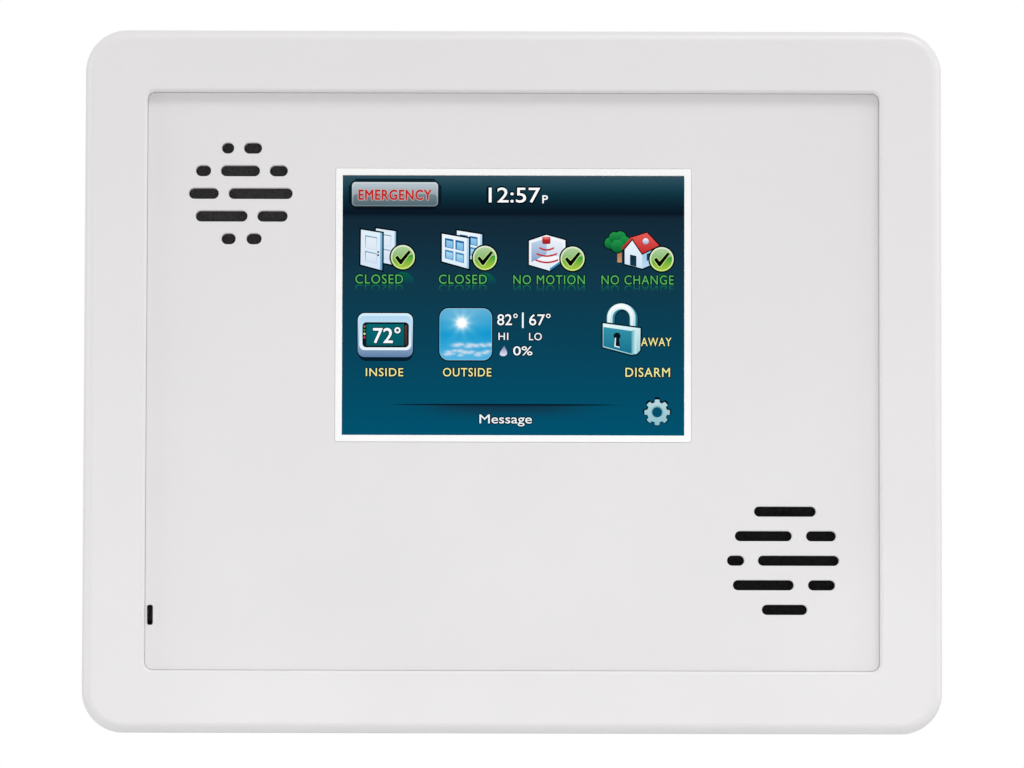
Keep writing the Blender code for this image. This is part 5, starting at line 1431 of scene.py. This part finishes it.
def build_weather():
    """Sky tile, a sheet of small squares: blue shades, rays round the sun by angle, two banks of cloud."""
    left, right, top, bottom = 20.02, 30.63, 26.94, 37.34
    columns = 64
    u, v = np.meshgrid(np.linspace(0, 1, columns), np.linspace(0, 1, columns))
    across = np.abs(2 * u - 1)
    down = np.abs(2 * v - 1)
    corner = 0.34
    over = np.maximum(across - (1 - corner), 0) ** 2 + np.maximum(down - (1 - corner), 0) ** 2
    reach = np.maximum(np.sqrt(over) / corner, 1.0)
    pull = 1 - (1 - 1 / reach) * corner
    place_u = left + (right - left) * (0.5 + (u - 0.5) * pull)
    place_v = top + (bottom - top) * (0.5 + (v - 0.5) * pull)
    sun_u, sun_v = 24.5, 29.85
    away = np.hypot(place_u - sun_u, place_v - sun_v)
    angle = np.arctan2(place_v - sun_v, place_u - sun_u)
    rays = 0.5 + 0.5 * np.cos(9 * angle)
    bright = 1.1 * np.exp(-((away / 1.15) ** 2)) + 0.75 * np.exp(-away / 1.7) * (0.5 + 0.5 * rays)
    shades = ((96, 16, 84), (176, 150, 180), (214, 206, 226))
    sky = np.stack([np.interp(v, (0, 0.5, 1), shade) for shade in shades], axis=-1)
    spots = np.random.default_rng(SKY_SEED)
    cloud = np.zeros_like(place_u)
    for low_u, level, tall in ((22.8, 34.3, 0.32), (20.0, 36.0, 0.48)):
        centres_u = spots.uniform(low_u, right, CLOUD_PUFFS)
        centres_v = spots.normal(level, tall / 2, CLOUD_PUFFS)
        widths = spots.uniform(0.35, 1.1, CLOUD_PUFFS)
        for centre_u, centre_v, width in zip(centres_u, centres_v, widths):
            far = ((place_u - centre_u) / width) ** 2 + ((place_v - centre_v) / (0.4 * width)) ** 2
            cloud = np.maximum(cloud, 0.9 * np.exp(-far))
    picture = sky * (1 - cloud[..., None]) + np.array([222, 224, 238]) * cloud[..., None]
    picture = picture + (255 - picture) * np.clip(bright, 0, 1)[..., None]
    icon = Drawing("icon_sky_edge", 2.0)
    shadow = rounded_box((left - 0.3, right + 0.3), (top - 0.3, bottom + 0.35), 2.0)
    icon.add(shadow, (6, 34, 50), (4, 40, 58))
    rim = rounded_box((left - 0.05, right + 0.05), (top - 0.05, bottom + 0.05), 1.85)
    icon.add(rim, (190, 228, 244))
    icon.finish()
    points = on_screen(place_u, place_v, 4.0).reshape(-1, 3)
    screen_object("icon_sky", points, sheet_faces(columns, columns), linear(picture).reshape(-1, 3))
    mark = Drawing("forecast_marks", 5.0)
    mark.add(rounded_box((36.85, 37.2), (27.7, 30.85), 0.1), (250, 252, 255))
    turn = np.linspace(0, 2 * math.pi, 40, endpoint=False)
    belly = 0.75 * np.sin(turn) * (1 - np.cos(turn)) / 1.3
    drop_u = 33.0 + belly + 0.25 * (1 + np.cos(turn)) / 2
    drop_v = 35.45 - 1.1 * np.cos(turn)
    mark.add(np.stack([drop_u, drop_v], axis=-1), (96, 100, 170), (226, 232, 250))
    mark.finish()


def build_padlock():
    icon = Drawing("icon_padlock")
    angle = np.linspace(math.pi, 0, 26)
    arch = np.stack([57.2 + 2.35 * np.cos(angle), 28.75 - 2.35 * np.sin(angle)], axis=-1)
    path = np.concatenate([[(54.85, 31.2)], arch, [(59.55, 32.0)]])
    icon.add(stroke(path + (0.35, 0.12), 1.7), (4, 34, 48))
    icon.add(stroke(path + (0.45, 0.1), 1.1), (60, 150, 170), (20, 96, 120))
    icon.add(stroke(path, 1.15), (240, 250, 252), (150, 204, 216))
    icon.add(stroke(path - (0.12, 0.05), 0.45), (255, 255, 255), (206, 234, 240))
    body = [(53.44, 29.84), (61.16, 30.85), (61.1, 35.3), (60.4, 36.05), (59.3, 36.2), (53.44, 34.68)]
    front = [(53.55, 30.6), (59.3, 31.4), (59.3, 36.0), (53.55, 34.5)]
    top = [(53.6, 29.98), (60.9, 30.95), (59.4, 31.35), (53.6, 30.5)]
    side = [(59.3, 31.35), (60.3, 31.1), (60.3, 35.95), (59.3, 36.05)]
    keyhole = [(56.1, 32.8), (56.75, 32.9), (57.0, 34.85), (55.95, 34.6)]
    glint = [(55.95, 32.7), (56.15, 32.85), (56.05, 34.4), (56.9, 34.62), (56.9, 34.85), (55.8, 34.58)]
    icon.add(grown(body, 0.3), (4, 30, 44))
    icon.add(body, (214, 240, 244), (150, 206, 214))
    icon.add(front, (52, 146, 168), (22, 112, 140))
    icon.add(top, (232, 250, 252), (206, 238, 242))
    icon.add(side, (60, 160, 176), (214, 240, 244), True)
    icon.add(circle(56.35, 32.45, 0.72, 28), (6, 24, 34))
    icon.add(keyhole, (6, 24, 34))
    icon.add(glint, (230, 246, 250))
    icon.finish()


def build_gear():
    """Eight-toothed wheel: the rim's radius switches smoothly between root and tip as the cosine of 8a."""
    icon = Drawing("icon_gear")
    angle = np.linspace(0, 2 * math.pi, 160, endpoint=False)
    tooth = np.clip(0.75 + 1.8 * np.cos(8 * angle), 0, 1)
    unit = np.stack([np.cos(angle), -np.sin(angle)], axis=-1)
    rim = (2.05 + 0.55 * tooth)[:, None] * unit
    outer = rim + GEAR_CENTRE
    hole = 1.02 * unit + GEAR_CENTRE
    icon.band(outer + 0.13 * rim - (0.0, 0.14), hole, (2, 22, 34), (2, 40, 58))
    icon.band(outer, hole, (186, 216, 222), (140, 190, 200))
    icon.band(circle(*GEAR_CENTRE, 1.28, 160), hole, (110, 160, 172), (150, 200, 208))
    icon.finish()


def build_rule():
    """The thin dark rule above the lower line of the screen, thinning away at both ends."""
    rule = Drawing("lower_rule", 2.0)
    share = np.linspace(-1, 1, 40)
    half = 0.17 * (1 - share**4)
    upper = np.stack([RULE_MIDDLE + 24.0 * share, RULE_V - half], axis=-1)
    lower = np.stack([RULE_MIDDLE + 24.0 * share, RULE_V + half], axis=-1)[::-1]
    rule.add(np.concatenate([upper, lower[1:-1]]), (4, 20, 32), (10, 30, 44))
    rule.finish()


def build_screen():
    build_background()
    build_title()
    build_doors()
    build_windows()
    build_motion()
    build_house()
    build_labels()
    build_thermostat()
    build_weather()
    build_padlock()
    build_gear()
    build_rule()


# ---------------------------------------------------------------- putting it together


def carry_over_nodes():
    """Gives every construction node that still shows the finish named by its own material slots."""
    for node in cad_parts.values():
        for place in node.material_slots:
            place.material = FINISHES[place.material.name.split(".")[0]]


def main():
    add_camera()
    set_up_studio()
    carry_over_nodes()
    build_front_frame()
    build_face_plate()
    build_grille_cloths()
    build_surround()
    build_release_button(-1)
    build_release_button(1)
    build_fixings()
    softened("wall_plate", "rear_white", "wall_side", 0.3 * MM)
    softened("rear_cover", "rear_white", "panel", 0.25 * MM)
    softened("battery_cover", "rear_white", "panel", 0.25 * MM)
    build_screen()


main()
